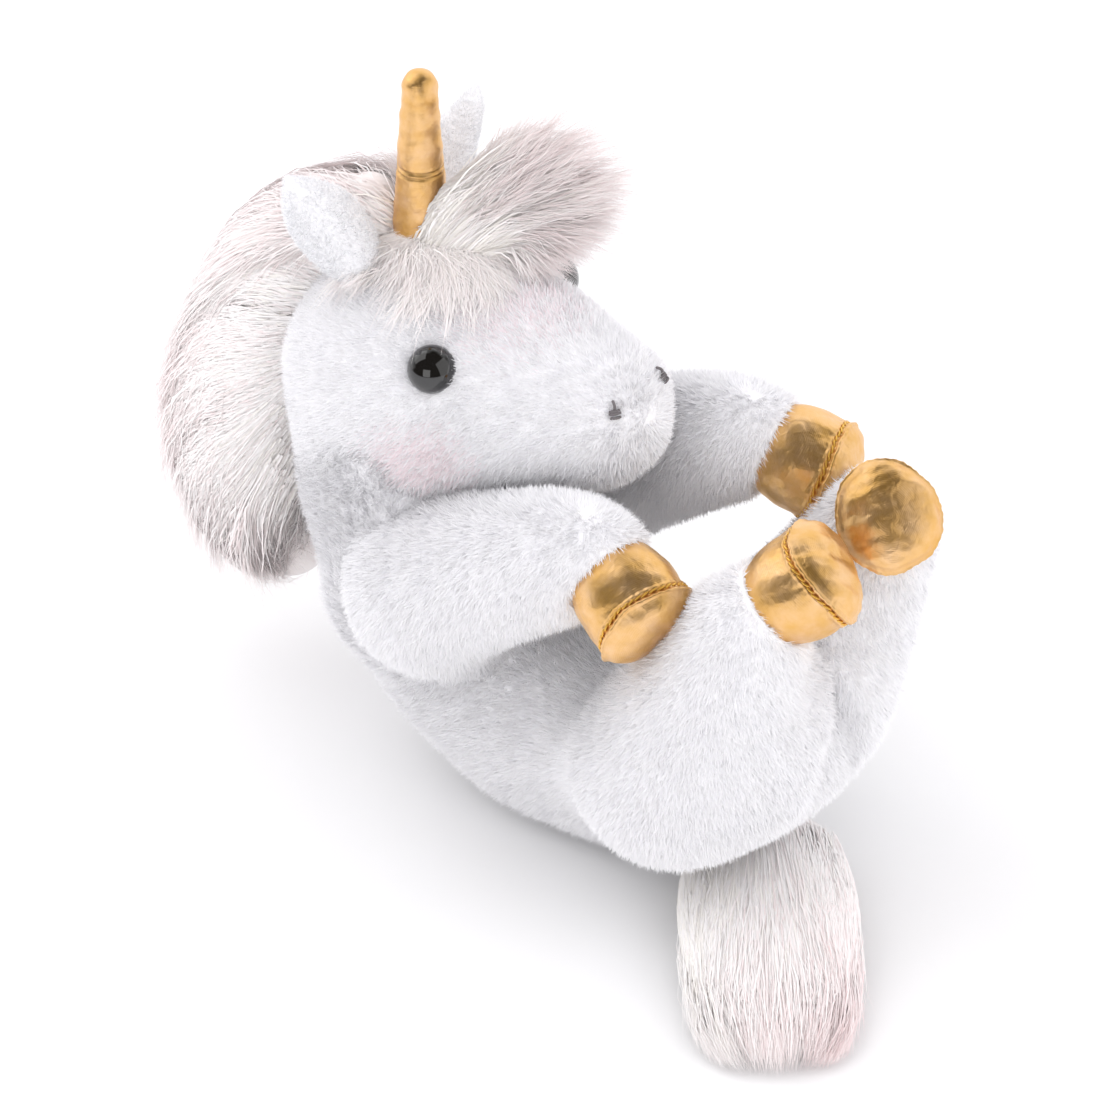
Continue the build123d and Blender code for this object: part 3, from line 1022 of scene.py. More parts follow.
@dataclass
class Head:
    """The head: a round cranium and a shorter, narrower muzzle."""

    dresser: Dresser
    nap: Nap = Nap(density=7.6, length=2.6)
    # Distance from the cranium's centre towards the muzzle, and the radius there.
    profile: tuple[tuple[float, float], ...] = (
        (-34.5, 0.0),
        (-32.5, 11.5),
        (-24.0, 24.8),
        (-10.0, 33.0),
        (2.0, 34.3),
        (14.0, 32.4),
        (27.0, 26.6),
        (38.0, 22.6),
        (48.0, 19.5),
        (57.0, 15.9),
        (62.5, 9.8),
        (64.9, 4.5),
        (65.4, 0.0),
    )

    def axes(self) -> tuple[Array, Array, Array]:
        """The cranium's centre, the muzzle's centre and the direction between them."""
        cranium = joint_place("head_nod")
        low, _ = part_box("head_cover")
        muzzle_radius = 21.0
        muzzle = np.array([0.0, low[1] / MM + muzzle_radius, cranium[2] + 4.9])
        return cranium, muzzle, unit(muzzle - cranium)

    def form(self) -> Blob:
        """The profile, smoothed, along the head's axis."""
        cranium, _, along = self.axes()
        knots = np.array(self.profile)
        s = np.linspace(0, len(knots) - 1, 96)
        place = smooth_curve(knots[:, 0], s)
        radius = np.maximum(smooth_curve(knots[:, 1], s), 0.05)
        return Blob(cranium + along * place[:, None], radius)

    def balls(self) -> Blob:
        """The same form as balls that stay inside it: one for the cranium, a row to the nose."""
        cranium, muzzle, _ = self.axes()
        share = np.linspace(0, 1, 12)
        return Blob(cranium + (muzzle - cranium) * share[:, None], 33.9 + (18.9 - 33.9) * share)

    def surface(self, body: Blob) -> Skin:
        """The form's skin, run into the neck behind.

        Args:
            body: The torso's form.
        """
        cranium, _, along = self.axes()
        form = self.form()
        skin = carry(form.path, form.radius, 84)
        fillet(skin, [body], 24.0, nape(skin.points))
        front = smooth_step((skin.points - cranium) @ along, 20.0, 50.0)
        skin.points[:, 0] *= 1 + 0.02 * front
        skin.points += swirl(skin.points, 48.0, 1.4) * 0.5
        return skin

    def comb(self, points: Array, normals: Array) -> Array:
        """The pile lies back from the nose and slightly down."""
        del points, normals
        return np.array([0.0, 1.0, -0.35])

    def blush(self, points: Array) -> Array:
        """Pink cheeks below and behind the eyes, and a faint pink forehead."""
        cheek = np.linalg.norm((points - self.cheek()) * [1, 0.8, 1], axis=1)
        other = np.linalg.norm((points - self.cheek() * [-1, 1, 1]) * [1, 0.8, 1], axis=1)
        brow = np.linalg.norm(points - np.array([0.0, 26.0, 146.0]), axis=1)
        near = np.minimum(cheek, other)
        return 0.75 * (1 - smooth_step(near, 3, 16)) + 0.5 * (1 - smooth_step(brow, 6, 27))

    def cheek(self) -> Array:
        """The middle of the right cheek's blush."""
        cranium, _, _ = self.axes()
        return cranium + np.array([-29.0, -17.0, -6.0])

    def build(self, body: Blob) -> None:
        """Make the head's backing and pile, over the torso's form."""
        skin = self.surface(body)
        self.dresser.skin("head_plush", skin, "head", "white_plush", "head_cover")
        self.dresser.nap("head_pile", skin, self.nap, self.comb, "head", self.blush)


def smooth_curve(values: Array, s: Array) -> Array:
    """A Catmull-Rom curve through values at whole s, with its ends held.

    Between knots p1 and p2, at fraction t:
    p1 + t/2 (p2-p0) + t^2 (p0 - 5/2 p1 + 2 p2 - p3/2) + t^3 (3/2 p1 - p0/2 - 3/2 p2 + p3/2).
    """
    i = np.clip(np.floor(s).astype(int), 0, len(values) - 2)
    t = s - i
    p0, p1 = values[np.maximum(i - 1, 0)], values[i]
    p2, p3 = values[i + 1], values[np.minimum(i + 2, len(values) - 1)]
    return (
        p1
        + t / 2 * (p2 - p0)
        + t**2 * (p0 - 2.5 * p1 + 2 * p2 - 0.5 * p3)
        + t**3 * (1.5 * p1 - 0.5 * p0 - 1.5 * p2 + 0.5 * p3)
    )


@dataclass
class Eye:
    """A domed black safety eye."""

    dresser: Dresser
    side: Side
    radius: float = 6.0
    rise: float = 4.5

    def build(self) -> None:
        """Make the dome: a profile from the rim's underside over to the crown, turned."""
        name = f"eye_{self.side.word}"
        cranium = joint_place("head_nod")
        centre = np.array([25.8 * self.side.value, 31.0, 132.2])
        out = unit(centre - cranium + np.array([0.0, -9.0, 1.0]))
        turn = np.linspace(0, math.pi / 2, 20)
        lift = np.concatenate([[-1.6, -1.2, -0.4], self.rise * np.sin(turn)])
        rim = [0.05, self.radius * 0.93, self.radius]
        radius = np.concatenate([rim, self.radius * np.cos(turn)])
        radius = np.maximum(radius, 0.02)
        skin = carry(centre - out * 0.6 + out * lift[:, None], radius, 48)
        piece = make_piece(f"{name}_dome", skin.points, skin.faces, [self.dresser.wardrobe.eye])
        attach(piece, "head")
        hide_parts(name)
        LOG.info("%s dome made", name)


@dataclass
class Horn:
    """The stuffed foil horn, with the creases of its turned tip."""

    dresser: Dresser
    base_radius: float = 7.2
    tip_radius: float = 4.3

    def build(self) -> None:
        """Carry a tapering circle up the horn and press creases across it."""
        low, high = (np.array(corner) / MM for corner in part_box("horn_cover"))
        middle = (low + high) / 2
        top = high[2]
        z = np.linspace(low[2] - 1.5, top - self.tip_radius, 70)
        share = (z - z[0]) / (z[-1] - z[0])
        bow = np.sin(share * math.pi)
        path = np.stack([middle[0] + 0.2 * bow, middle[1] + 0.2 * bow, z], axis=-1)
        radius = self.base_radius + (self.tip_radius - self.base_radius) * share
        radius = radius + 0.1 * np.sin(share * 33) * smooth_step(share, 0.3, 0.6)
        path, radius = ball_ended(path, radius, False, True)
        skin = carry(path, radius, 64)
        skin.points[:, :2] += 0.22 * swirl(skin.points * [1, 1, 2.2], 16.0, 2.5)[:, :2]
        piece = make_piece(
            "horn_foil", skin.points, skin.faces, [self.dresser.wardrobe.foil], uv=skin.uv
        )
        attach(piece, "head")
        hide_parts("horn_cover")
        LOG.info("horn_foil made")


EAR_FACING = {Side.LEFT: (-0.15, -1.0, 0.0), Side.RIGHT: (-0.55, -0.8, 0.0)}


@dataclass
class Ear:
    """A cupped leaf of two plush panels."""

    dresser: Dresser
    side: Side
    tip: tuple[float, float, float]
    half_width: float = 8.8
    thickness: float = 2.6
    nap: Nap = Nap(length=1.3, width=0.22, density=14.0, lean=45.0, disorder=0.35, tufting=0.1)

    def surface(self) -> Skin:
        """A flat oval ring carried from root to tip and cupped.

        At height t, the half-width is W sin(pi (0.16 + 0.84 t)^0.85), and a point x across is
        pushed back by x^2 / (2 cup radius).
        """
        root = joint_place(f"ear_flop_{self.side.word}")
        along = np.array(self.tip) - root
        length = float(np.linalg.norm(along)) + 5.0
        along = unit(along)
        face = np.array(EAR_FACING[self.side])
        face = unit(face - along * (face @ along))
        across = np.cross(along, face)
        t = np.linspace(0, 1, 40)
        half = self.half_width * np.sin(math.pi * np.clip((0.17 + 0.83 * t) ** 0.85, 0, 1)) ** 0.8
        half = np.maximum(half, 0.05)
        depth = self.thickness * np.minimum(1, half / 4)
        turn = np.linspace(0, 2 * math.pi, 40, endpoint=False)
        x = half[:, None] * np.cos(turn)
        y = depth[:, None] * np.sin(turn) - x**2 / 11.0
        lean_back = 2.0 * t[:, None] ** 2
        z = (t[:, None] * length) + 0 * x
        points = (
            root
            + x[..., None] * across
            + (y + lean_back)[..., None] * face
            + (z - 3.0)[..., None] * along
        )
        rings, around = x.shape
        faces, grid = ring_faces(rings, around)
        flat = points.reshape(-1, 3)
        ends = np.stack([flat[grid[0]].mean(0), flat[grid[-1]].mean(0)])
        low, high = rings * around, rings * around + 1
        cap_low = np.stack([np.full(around, low), np.roll(grid[0], -1), grid[0]], axis=-1)
        cap_high = np.stack([np.full(around, high), grid[-1], np.roll(grid[-1], -1)], axis=-1)
        skin = Skin(np.concatenate([flat, ends]), np.concatenate([faces, cap_low, cap_high]))
        a, b, c = (skin.points[skin.faces[:, i]] for i in range(3))
        if np.sum(np.cross(a, b) * c) < 0:
            skin.faces = skin.faces[:, ::-1]
        return skin

    def build(self) -> None:
        """Make the ear's panels and their short nap."""
        word = self.side.word
        skin = self.surface()
        self.dresser.skin(
            f"ear_{word}_panels",
            skin,
            f"ear_{word}",
            "ear_plush",
            f"ear_back_{word}",
            f"ear_lining_{word}",
            fill=0.2,
        )
        up = unit(np.array(self.tip) - joint_place(f"ear_flop_{word}"))
        self.dresser.nap(
            f"ear_{word}_nap",
            skin,
            self.nap,
            lambda points, normals: np.broadcast_to(up, points.shape),
            f"ear_{word}",
            tones=self.dresser.wardrobe.ear,
            slot="ear_plush",
        )


@dataclass
class Nostril:
    """A few turns of grey thread pulled into the muzzle."""

    dresser: Dresser
    side: Side

    def build(self) -> None:
        """Lay three short thread loops side by side and one down from them."""
        name = f"nostril_{self.side.word}"
        low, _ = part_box("head_cover")
        muzzle = np.array([0.0, low[1] / MM + 21.0, joint_place("head_nod")[2] + 4.9])
        centre = node_centre(name)
        out = unit(centre - muzzle)
        centre = muzzle + out * 20.4
        across = unit(np.cross(UP, out))
        up = np.cross(out, across)
        parts: list[Skin] = []
        loops = ((-0.9, -0.5, 1.5), (0.0, -0.3, 1.7), (0.9, -0.5, 1.5), (0.1, 1.5, 1.2))
        for shift, lift, length in loops:
            t = np.linspace(-1, 1, 9)
            if lift < 1:
                path = centre + (lift + shift * 0.9) * up[None]
                path = path + across * (t * length * 0.75)[:, None]
            else:
                path = centre + lift * up[None] + up * (t * length)[:, None]
            path = path + out * (0.7 * (1 - t**2) - 0.3)[:, None]
            parts.append(carry(*ball_ended(path, np.full(9, 0.36), True, True, 4), 10))
        points, faces = stack(parts)
        piece = make_piece(f"{name}_stitch", points, faces, [self.dresser.wardrobe.grey_thread])
        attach(piece, "head")
        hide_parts(name)
        LOG.info("%s stitched", name)


def stack(parts: list[Skin]) -> tuple[Array, Array]:
    """Several surfaces as one set of points and faces."""
    offsets = np.cumsum([0] + [len(p.points) for p in parts[:-1]])
    points = np.concatenate([p.points for p in parts])
    faces = np.concatenate([p.faces + o for p, o in zip(parts, offsets, strict=True)])
    return points, faces


@dataclass
class Leg:
    """A stuffed leg that ends in a gold hoof."""

    dresser: Dresser
    front: bool
    side: Side
    hoof_along: tuple[float, float, float]
    oval: float  # the angle that the sole's long side points to, in degrees
    cuff_radius: float = 11.3
    hoof_length: float = 17.0
    base_radius: float = 10.8
    sole_radius: float = 12.9
    sole_rise: float = 6.0
    stitch_pitch: float = 2.0

    @property
    def name(self) -> str:
        """The leg's name in the frame, such as front_left."""
        return f"{'front' if self.front else 'hind'}_{self.side.word}"

    @property
    def body(self) -> str:
        """The frame body that the leg is."""
        return f"{self.name}_leg"

    def along(self) -> Array:
        """The direction from the cuff to the sole."""
        return unit(np.array(self.hoof_along))

    def cuff(self) -> Array:
        """The middle of the cuff, one hoof length behind the seam's ring."""
        return node_centre(f"{self.name}_hoof_seam") - self.along() * self.hoof_length

    def limb(self) -> Blob:
        """A round taper on a quadratic curve from the joint's ball to the cuff."""
        joint = joint_place(f"{'shoulder' if self.front else 'hip'}_{self.side.word}")
        cuff, along = self.cuff(), self.along()
        reach = float(np.linalg.norm(cuff - joint))
        middle = cuff - along * reach * 0.15
        path = bezier(joint, middle, cuff + along * 1.5, 48)
        t = np.linspace(0, 1, 48)
        root = 18.4 if self.front else 20.8
        radius = root + (self.cuff_radius - root) * t ** (1.0 if self.front else 0.95)
        radius += 0.8 * np.sin(t * math.pi) ** 1.2
        return Blob(*ball_ended(path, radius, True, False))

    def hoof_grid(self) -> tuple[Array, Array, Array, Array]:
        """The hoof's surface by distance along it and turn around it.

        The profile runs from inside the cuff, up the wrap, over a stitched double ridge and
        across the domed sole. The radius at turn v is scaled by 1 + 0.05 cos 2(v - oval), and
        the ridge is puckered by a wave of one stitch's pitch.

        Returns:
            Points (rings, around, 3), the rings' run in millimetres, the turns, and each ring's
            share of the pucker.
        """
        length, sole = self.hoof_length, self.sole_radius
        wrap = [
            (8.4, 0.9),
            (9.4, 0.2),
            (10.2, 0.3),
            (10.8, 1.4),
            (11.9, 4.0),
            (12.7, 7.6),
            (12.8, 11.0),
        ]
        ridge = [
            (12.7, length - 3.6),
            (12.75, length - 2.7),
            (12.95, length - 2.1),
            (12.55, length - 1.45),
            (12.75, length - 0.8),
            (13.3, length - 0.3),
            (13.35, length + 0.25),
            (12.8, length + 0.55),
        ]
        dome_turn = np.linspace(0.12, 1, 12)
        dome = [
            (
                12.35 * math.cos(x * math.pi / 2) ** 0.9,
                length + 0.5 + (self.sole_rise - 0.5) * math.sin(x * math.pi / 2),
            )
            for x in dome_turn
        ]
        knots = np.array(wrap + ridge + dome)
        knots[:, 0] *= sole / 12.9
        s = np.linspace(0, len(knots) - 1, (len(knots) - 1) * 3 + 1)
        r = np.maximum(smooth_curve(knots[:, 0], s), 0.03)
        h = smooth_curve(knots[:, 1], s)
        pucker = np.exp(-(((h - (length - 1.2)) / 1.7) ** 2)) * (r > 11)
        turn = np.linspace(0, 2 * math.pi, 144, endpoint=False)
        stitches = round(2 * math.pi * sole / self.stitch_pitch)
        lobes = 1 + 0.05 * np.cos(2 * (turn - math.radians(self.oval)))
        lobes = lobes + 0.018 * np.cos(3 * turn + self.oval)
        height = smooth_step(h, 0, length)
        scale = 1 + (lobes[None] - 1) * height[:, None]
        radius = r[:, None] * scale + 0.16 * pucker[:, None] * np.cos(turn * stitches)
        dent = 1.1 * np.cos(2 * (turn - math.radians(self.oval + 60)))
        rise = h[:, None] - dent[None] * height[:, None] * np.clip(r / sole, 0, 1)[:, None] ** 2
        along = self.along()
        first = unit(np.cross(along, UP))
        second = np.cross(along, first)
        points = (
            self.cuff()
            + rise[..., None] * along
            + (radius * np.cos(turn))[..., None] * first
            + (radius * np.sin(turn))[..., None] * second
        )
        crumple = swirl(points, 15.0, self.oval) * 0.28 + swirl(points, 7.0, self.oval + 2) * 0.1
        points = points + crumple * (0.4 + 0.6 * height[:, None, None])
        run = np.concatenate([[0], np.cumsum(np.hypot(np.diff(r), np.diff(h)))])
        return points, run, turn, pucker

    def build_hoof(self) -> None:
        """Make the foil hoof and its stitches."""
        points, run, turn, _ = self.hoof_grid()
        rings, around, _ = points.shape
        faces, grid = ring_faces(rings, around)
        flat = points.reshape(-1, 3)
        uv = np.stack(np.broadcast_arrays(turn[None] * self.sole_radius, run[:, None]), -1)
        low = len(flat)
        flat = np.concatenate([flat, points[0].mean(0)[None]])
        cap = np.stack([np.full(around, low), np.roll(grid[0], -1), grid[0]], axis=-1)
        faces = np.concatenate([faces, cap])
        centre = flat.mean(0)
        p, q, s = (flat[faces[:, i]] - centre for i in range(3))
        if np.sum(np.cross(p, q) * s) < 0:
            faces = faces[:, ::-1]
        uv = np.concatenate([uv.reshape(-1, 2), [[0, 0]]])
        foil = [self.dresser.wardrobe.foil]
        piece = make_piece(f"{self.name}_hoof_foil", flat, faces, foil, uv=uv)
        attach(piece, self.body)
        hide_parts(f"{self.name}_hoof_wrap", f"{self.name}_hoof_sole")
        LOG.info("%s hoof: %d faces", self.name, len(faces))

    def build_stitches(self) -> None:
        """Lay a ring of short threads along the groove between the hoof's two ridges."""
        points, run, _, _ = self.hoof_grid()
        groove = int(np.argmin(np.abs(np.cumsum(np.ones(len(run))) - 1 - 10 * 3)))
        line = points[groove]
        centre = line.mean(0)
        count = round(2 * math.pi * self.sole_radius / self.stitch_pitch)
        spot = np.linspace(0, len(line), count, endpoint=False)
        parts: list[Skin] = []
        for start in spot:
            span = (start + np.linspace(0.08, 0.92, 6) * len(line) / count) % len(line)
            i = span.astype(int)
            t = (span - i)[:, None]
            path = line[i] * (1 - t) + line[(i + 1) % len(line)] * t
            out = unit(path - centre - self.along() * ((path - centre) @ self.along())[:, None])
            bow = np.sin(np.linspace(0, math.pi, 6))[:, None]
            slant = self.along() * (np.linspace(-0.25, 0.25, 6))[:, None]
            path = path + out * (0.05 + 0.32 * bow) + slant
            parts.append(carry(*ball_ended(path, np.full(6, 0.27), True, True, 3), 7))
        flat, faces = stack(parts)
        thread = [self.dresser.wardrobe.thread]
        piece = make_piece(f"{self.name}_hoof_stitches", flat, faces, thread)
        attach(piece, self.body)
        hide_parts(f"{self.name}_hoof_seam")

    def build(self, body: Blob) -> None:
        """Make the leg's backing, pile, hoof and stitches.

        Args:
            body: The torso's form, which the leg's top runs into.
        """
        limb = self.limb()
        skin = carry(limb.path, limb.radius, 56)
        fillet(skin, [body], 26.0, off_floor(skin.points))
        cover = f"{self.name}_leg_cover"
        self.dresser.skin(f"{self.name}_plush", skin, self.body, "white_plush", cover)

        def comb(points: Array, normals: Array) -> Array:
            """The pile lies towards the floor."""
            del normals
            return np.broadcast_to(-UP, points.shape)

        self.dresser.nap(f"{self.name}_pile", skin, Nap(), comb, self.body, hidden=(body,))
        self.build_hoof()
        self.build_stitches()


@dataclass
class Mane:
    """Long hair down the crest, from behind the horn to the withers."""

    dresser: Dresser
    hairs: int = 54
    # Y and Z of the rim that the hair's ends reach, from the poll round to the withers.
    rim: tuple[tuple[float, float], ...] = (
        (72.0, 174.0),
        (91.0, 147.0),
        (106.0, 125.0),
        (119.0, 101.0),
        (128.0, 77.0),
        (130.0, 56.0),
        (126.0, 38.0),
        (117.0, 27.0),
        (104.0, 24.0),
        (92.0, 26.0),
    )
    # Y and Z of the middle of the hair's thickness, and its radius there.
    heart: tuple[tuple[float, float, float], ...] = (
        (70.0, 149.0, 9.0),
        (84.0, 137.0, 14.0),
        (96.0, 118.0, 18.0),
        (104.0, 93.0, 20.5),
        (106.0, 70.0, 21.0),
        (103.0, 52.0, 19.0),
        (99.0, 43.0, 14.0),
    )

    def crest(self, share: Array) -> tuple[Array, Array]:
        """The line that the mane is sewn along.

        Args:
            share: From 0 behind the horn to 1 at the withers.

        Returns:
            Places and outward directions.
        """
        head = joint_place("head_nod")
        turn = np.radians(np.array([98.0, 124.0, 152.0, 180.0, 204.0, 216.0, 230.0]))
        reach = np.array([34.0, 34.0, 34.5, 36.0, 39.0, 47.0, 58.0])
        s = share * (len(turn) - 1)
        angle, far = smooth_curve(turn, s), smooth_curve(reach, s)
        out = np.stack([0 * angle, -np.cos(angle), np.sin(angle)], axis=-1)
        return head + out * far[:, None], out

    def hang(self, piece: bpy.types.Object, slot: str) -> None:
        """Bake a piece's place into its mesh."""
        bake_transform(piece)

    def form(self) -> Heart:
        """The hair's dense inside."""
        knots = np.array(self.heart)
        s = np.linspace(0, len(knots) - 1, 40)
        y, z, radius = (smooth_curve(knots[:, i], s) for i in range(3))
        return Heart(np.stack([0 * y, y, z], axis=-1), radius, np.array([1.0, 0.0, 0.0]), 0.95)

    def build_heart(self) -> None:
        """Make the dense inner hair as one soft form."""
        skin = self.form().skin()
        backing = [self.dresser.wardrobe.hair_backing]
        piece = make_piece("mane_heart", skin.points, skin.faces, backing)
        self.hang(piece, "backing")

    def locks(self, side: Side, low: float, high: float, count: int) -> tuple[Strands, Array]:
        """Hairs rooted between two shares of the crest that fall to one side.

        A lock's end is the rim at its share, its middle is pushed outwards by 0.42 of the way
        there, and both spread sideways.

        Args:
            side: The side that it falls to.
            low: The first share.
            high: The last share.
            count: How many locks.

        Returns:
            The hairs and the way that each one faces.
        """
        rng = self.dresser.rng
        bundle = Bundle(count, self.hairs, 1.5, 2.4, 2.4, 0.8, 6, 0.46)
        share = low + (high - low) * rng.random(count) ** 1.4
        place, out = self.crest(share)
        lateral = np.array([1.0, 0.0, 0.0]) * side.value
        flare = rng.uniform(0, 1, count) ** 0.8
        roots = place + lateral * (flare * (8 + 11 * smooth_step(share, 0.3, 0.9)))[:, None]
        rim = np.array(self.rim)
        along = np.clip(share * 0.85 + 0.12 + rng.normal(0, 0.045, count), 0, 1) * (len(rim) - 1)
        far = np.stack(
            [0 * along, smooth_curve(rim[:, 0], along), smooth_curve(rim[:, 1], along)], -1
        )
        way = far - place
        layer = rng.uniform(0.45, 1.0, count) ** 0.6
        reach = np.linalg.norm(way, axis=1)
        ends = place + way * layer[:, None] + lateral * (flare * 15)[:, None]
        middles = (
            place
            + out * (0.42 * reach * (0.5 + 0.5 * layer))[:, None]
            + way * 0.18
            + lateral * (6 + flare * 17)[:, None]
        )
        paths, lock = comb_locks(bundle, roots, middles, ends, rng)
        paths = coat(self.form(), paths, 2.6, 9.0, rng)
        warmth = 0.2 + 1.1 * layer[lock] + 0.5 * swirl(roots[lock], 26.0, 1.0)[:, 0]
        tones = hair_tones(warmth, bundle.steps, 1.1, rng, 3)
        facing = unit(out[lock] * 0.7 + lateral * (0.4 + flare[lock])[:, None])
        facing = unit(facing + rng.normal(0, 0.12, facing.shape))
        return Strands(paths, tones, bundle.width), facing

    def build(self) -> None:
        """Make the crest's hair and the neck's hair, each in a left and a right fall."""
        self.build_heart()
        for part, low, high, count in (("crest", 0.0, 0.6, 230), ("neck", 0.45, 1.0, 200)):
            for side in Side:
                strands, facing = self.locks(side, low, high, count)
                points, faces, tones = strands.ribbons(facing, self.dresser.rng)
                name = f"mane_{part}_hair_{side.word}"
                piece = make_piece(name, points, faces, self.dresser.wardrobe.hair, tones)
                self.hang(piece, "pink_hair")
                if side is Side.RIGHT:
                    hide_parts(f"mane_{part}")
                LOG.info("%s: %d faces", name, len(faces))


@dataclass
class Forelock:
    """The tuft in front of the horn: a fan to the left, and a fringe over the brow."""

    dresser: Dresser

    # How far each end of the fan lies aside of the root and above it, from top to bottom.
    fan: tuple[tuple[float, float], ...] = (
        (13.0, 27.0),
        (20.0, 33.0),
        (30.0, 31.0),
        (38.0, 22.0),
        (39.0, 11.0),
        (36.0, 3.0),
        (26.0, -3.0),
        (17.0, -8.0),
    )

    def build(self) -> None:
        """Make the fan and the fringe."""
        rng = self.dresser.rng
        sideways = unit(np.array([0.636, -0.772, 0.0]))
        depth = np.cross(sideways, UP)
        high_root, low_root = np.array([0.0, 50.0, 148.0]), np.array([5.0, 35.0, 146.0])
        fan = Bundle(200, 76, 1.8, 2.4, 2.6, 0.9, 6, 0.36)
        turn = rng.uniform(0, 1, fan.locks)
        knots = np.array(self.fan)
        aside = smooth_curve(knots[:, 0], turn * (len(knots) - 1))
        rise = smooth_curve(knots[:, 1], turn * (len(knots) - 1))
        layer = rng.normal(0, 1, fan.locks)
        reach = rng.uniform(0.7, 1.12, fan.locks)
        roots = high_root + (low_root - high_root) * turn[:, None]
        roots = (
            roots
            + depth * (layer * 3)[:, None]
            + sideways * rng.uniform(-4, 3, fan.locks)[:, None]
        )
        middle_root = np.array([3.0, 43.0, 147.0])
        ends = (
            middle_root
            + sideways * (aside * reach)[:, None]
            + UP * (rise * reach)[:, None]
            + depth * (layer * 6)[:, None]
        )
        middles = roots * 0.45 + ends * 0.55 + UP * (6 + 5 * (1 - turn))[:, None]
        middles = middles + depth * (layer * 2)[:, None]
        paths, lock = comb_locks(fan, roots, middles, ends, rng)
        share = np.linspace(0, 1, 24)
        spine = middle_root + sideways * (-4 + 22 * share)[:, None] + UP * (2 + 13 * share)[:, None]
        form = Heart(spine, 7.0 + 5.0 * np.sin(2.4 * share), depth, 0.5)
        paths = coat(form, paths, 3.2, 16.0, rng)
        skin = form.skin()
        heart = make_piece(
            "forelock_heart", skin.points, skin.faces, [self.dresser.wardrobe.hair_backing]
        )
        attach(heart, "head")
        warmth = 0.1 + 0.5 * swirl(roots[lock] * 2, 26.0, 1.0)[:, 0] + rng.normal(0, 0.3, len(lock))
        tones = hair_tones(warmth, fan.steps, 2.2, rng, 3)
        facing = unit(-depth + 0.5 * UP + rng.normal(0, 0.25, (len(lock), 3)))
        points, faces, index = Strands(paths, tones, fan.width).ribbons(facing, rng)
        piece = make_piece("forelock_hair", points, faces, self.dresser.wardrobe.hair, index)
        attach(piece, "head")
        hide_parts("forelock")
        LOG.info("forelock_hair: %d faces", len(faces))
        self.build_fringe(middle_root)

    def build_fringe(self, root: Array) -> None:
        """Lay hair over the brow, on the head's ball, down towards the eyes."""
        rng = self.dresser.rng
        head = joint_place("head_nod")
        fringe = Bundle(150, 48, 1.6, 1.6, 2.4, 0.5, 6, 0.32)
        turn = rng.uniform(-2.5, 1.4, fringe.locks)
        forward = np.array([0.0, -1.0, 0.0])
        way = unit(
            np.stack([np.sin(turn), -np.cos(turn), np.zeros_like(turn)], axis=-1)
            + 0.15 * rng.standard_normal((fringe.locks, 3))
        )
        length = rng.uniform(16, 34, fringe.locks)
        length = length + 9.0 * np.exp(-(((turn - 0.8) / 0.4) ** 2))
        roots = root + rng.normal(0, 4.5, (fringe.locks, 3)) * [1, 1, 0.3] + forward * -4
        flat = roots + way * length[:, None]
        out = unit(flat - head)
        ends = head + out * rng.uniform(36.5, 42.0, fringe.locks)[:, None]
        middle = unit((roots + ends) / 2 - head)
        middles = head + middle * rng.uniform(42, 50, fringe.locks)[:, None]
        paths, lock = comb_locks(fringe, roots, middles, ends, rng)
        crown = Heart(head[None], np.array([35.2]), UP, 1.0)
        paths = coat(crown, paths, 1.8, 3.0, rng)
        self.build_tuft()
        tones = hair_tones(0.3 + rng.normal(0, 0.5, len(lock)), fringe.steps, 1.2, rng, 2)
        facing = unit(paths[:, 3] - head)
        points, faces, index = Strands(paths, tones, fringe.width).ribbons(facing, rng)
        piece = make_piece("fringe_hair", points, faces, self.dresser.wardrobe.hair, index)
        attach(piece, "head")
        LOG.info("fringe_hair: %d faces", len(faces))

    def build_tuft(self) -> None:
        """Stand short hair round the horn's foot and back over the poll."""
        rng = self.dresser.rng
        head = joint_place("head_nod")
        tuft = Bundle(120, 48, 1.5, 1.6, 2.0, 0.3, 6, 0.34)
        turn = rng.uniform(0, 2 * math.pi, tuft.locks)
        far = rng.uniform(7.5, 19.0, tuft.locks)
        centre = np.array([0.0, 56.0, 0.0])
        flat = centre + np.stack([0.8 * far * np.cos(turn), far * np.sin(turn), 0 * turn], -1)
        flat[:, 2] = head[2] + 34 - (far / 19) ** 2 * 5
        way = unit(flat - centre - [0, 0, 148]) * [1, 1, 0]
        rise = rng.uniform(3, 7, tuft.locks)
        middles = flat + UP * rise[:, None] + way * 1.5
        ends = flat + UP * (rise * 0.3)[:, None] + way * rng.uniform(9, 15, tuft.locks)[:, None]
        paths, lock = comb_locks(tuft, flat, middles, ends, rng)
        crown = Heart(head[None], np.array([34.6]), UP, 1.0)
        paths = crown.drape(paths, np.full(paths.shape[:2], 0.2), np.full(paths.shape[:2], 9.0))
        tones = hair_tones(0.6 + rng.normal(0, 0.5, len(lock)), tuft.steps, 1.0, rng, 2)
        facing = unit(way[lock] + UP * 0.8 + rng.normal(0, 0.15, (len(lock), 3)))
        points, faces, index = Strands(paths, tones, tuft.width).ribbons(facing, rng)
        piece = make_piece("poll_hair", points, faces, self.dresser.wardrobe.hair, index)
        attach(piece, "head")
        LOG.info("poll_hair: %d faces", len(faces))


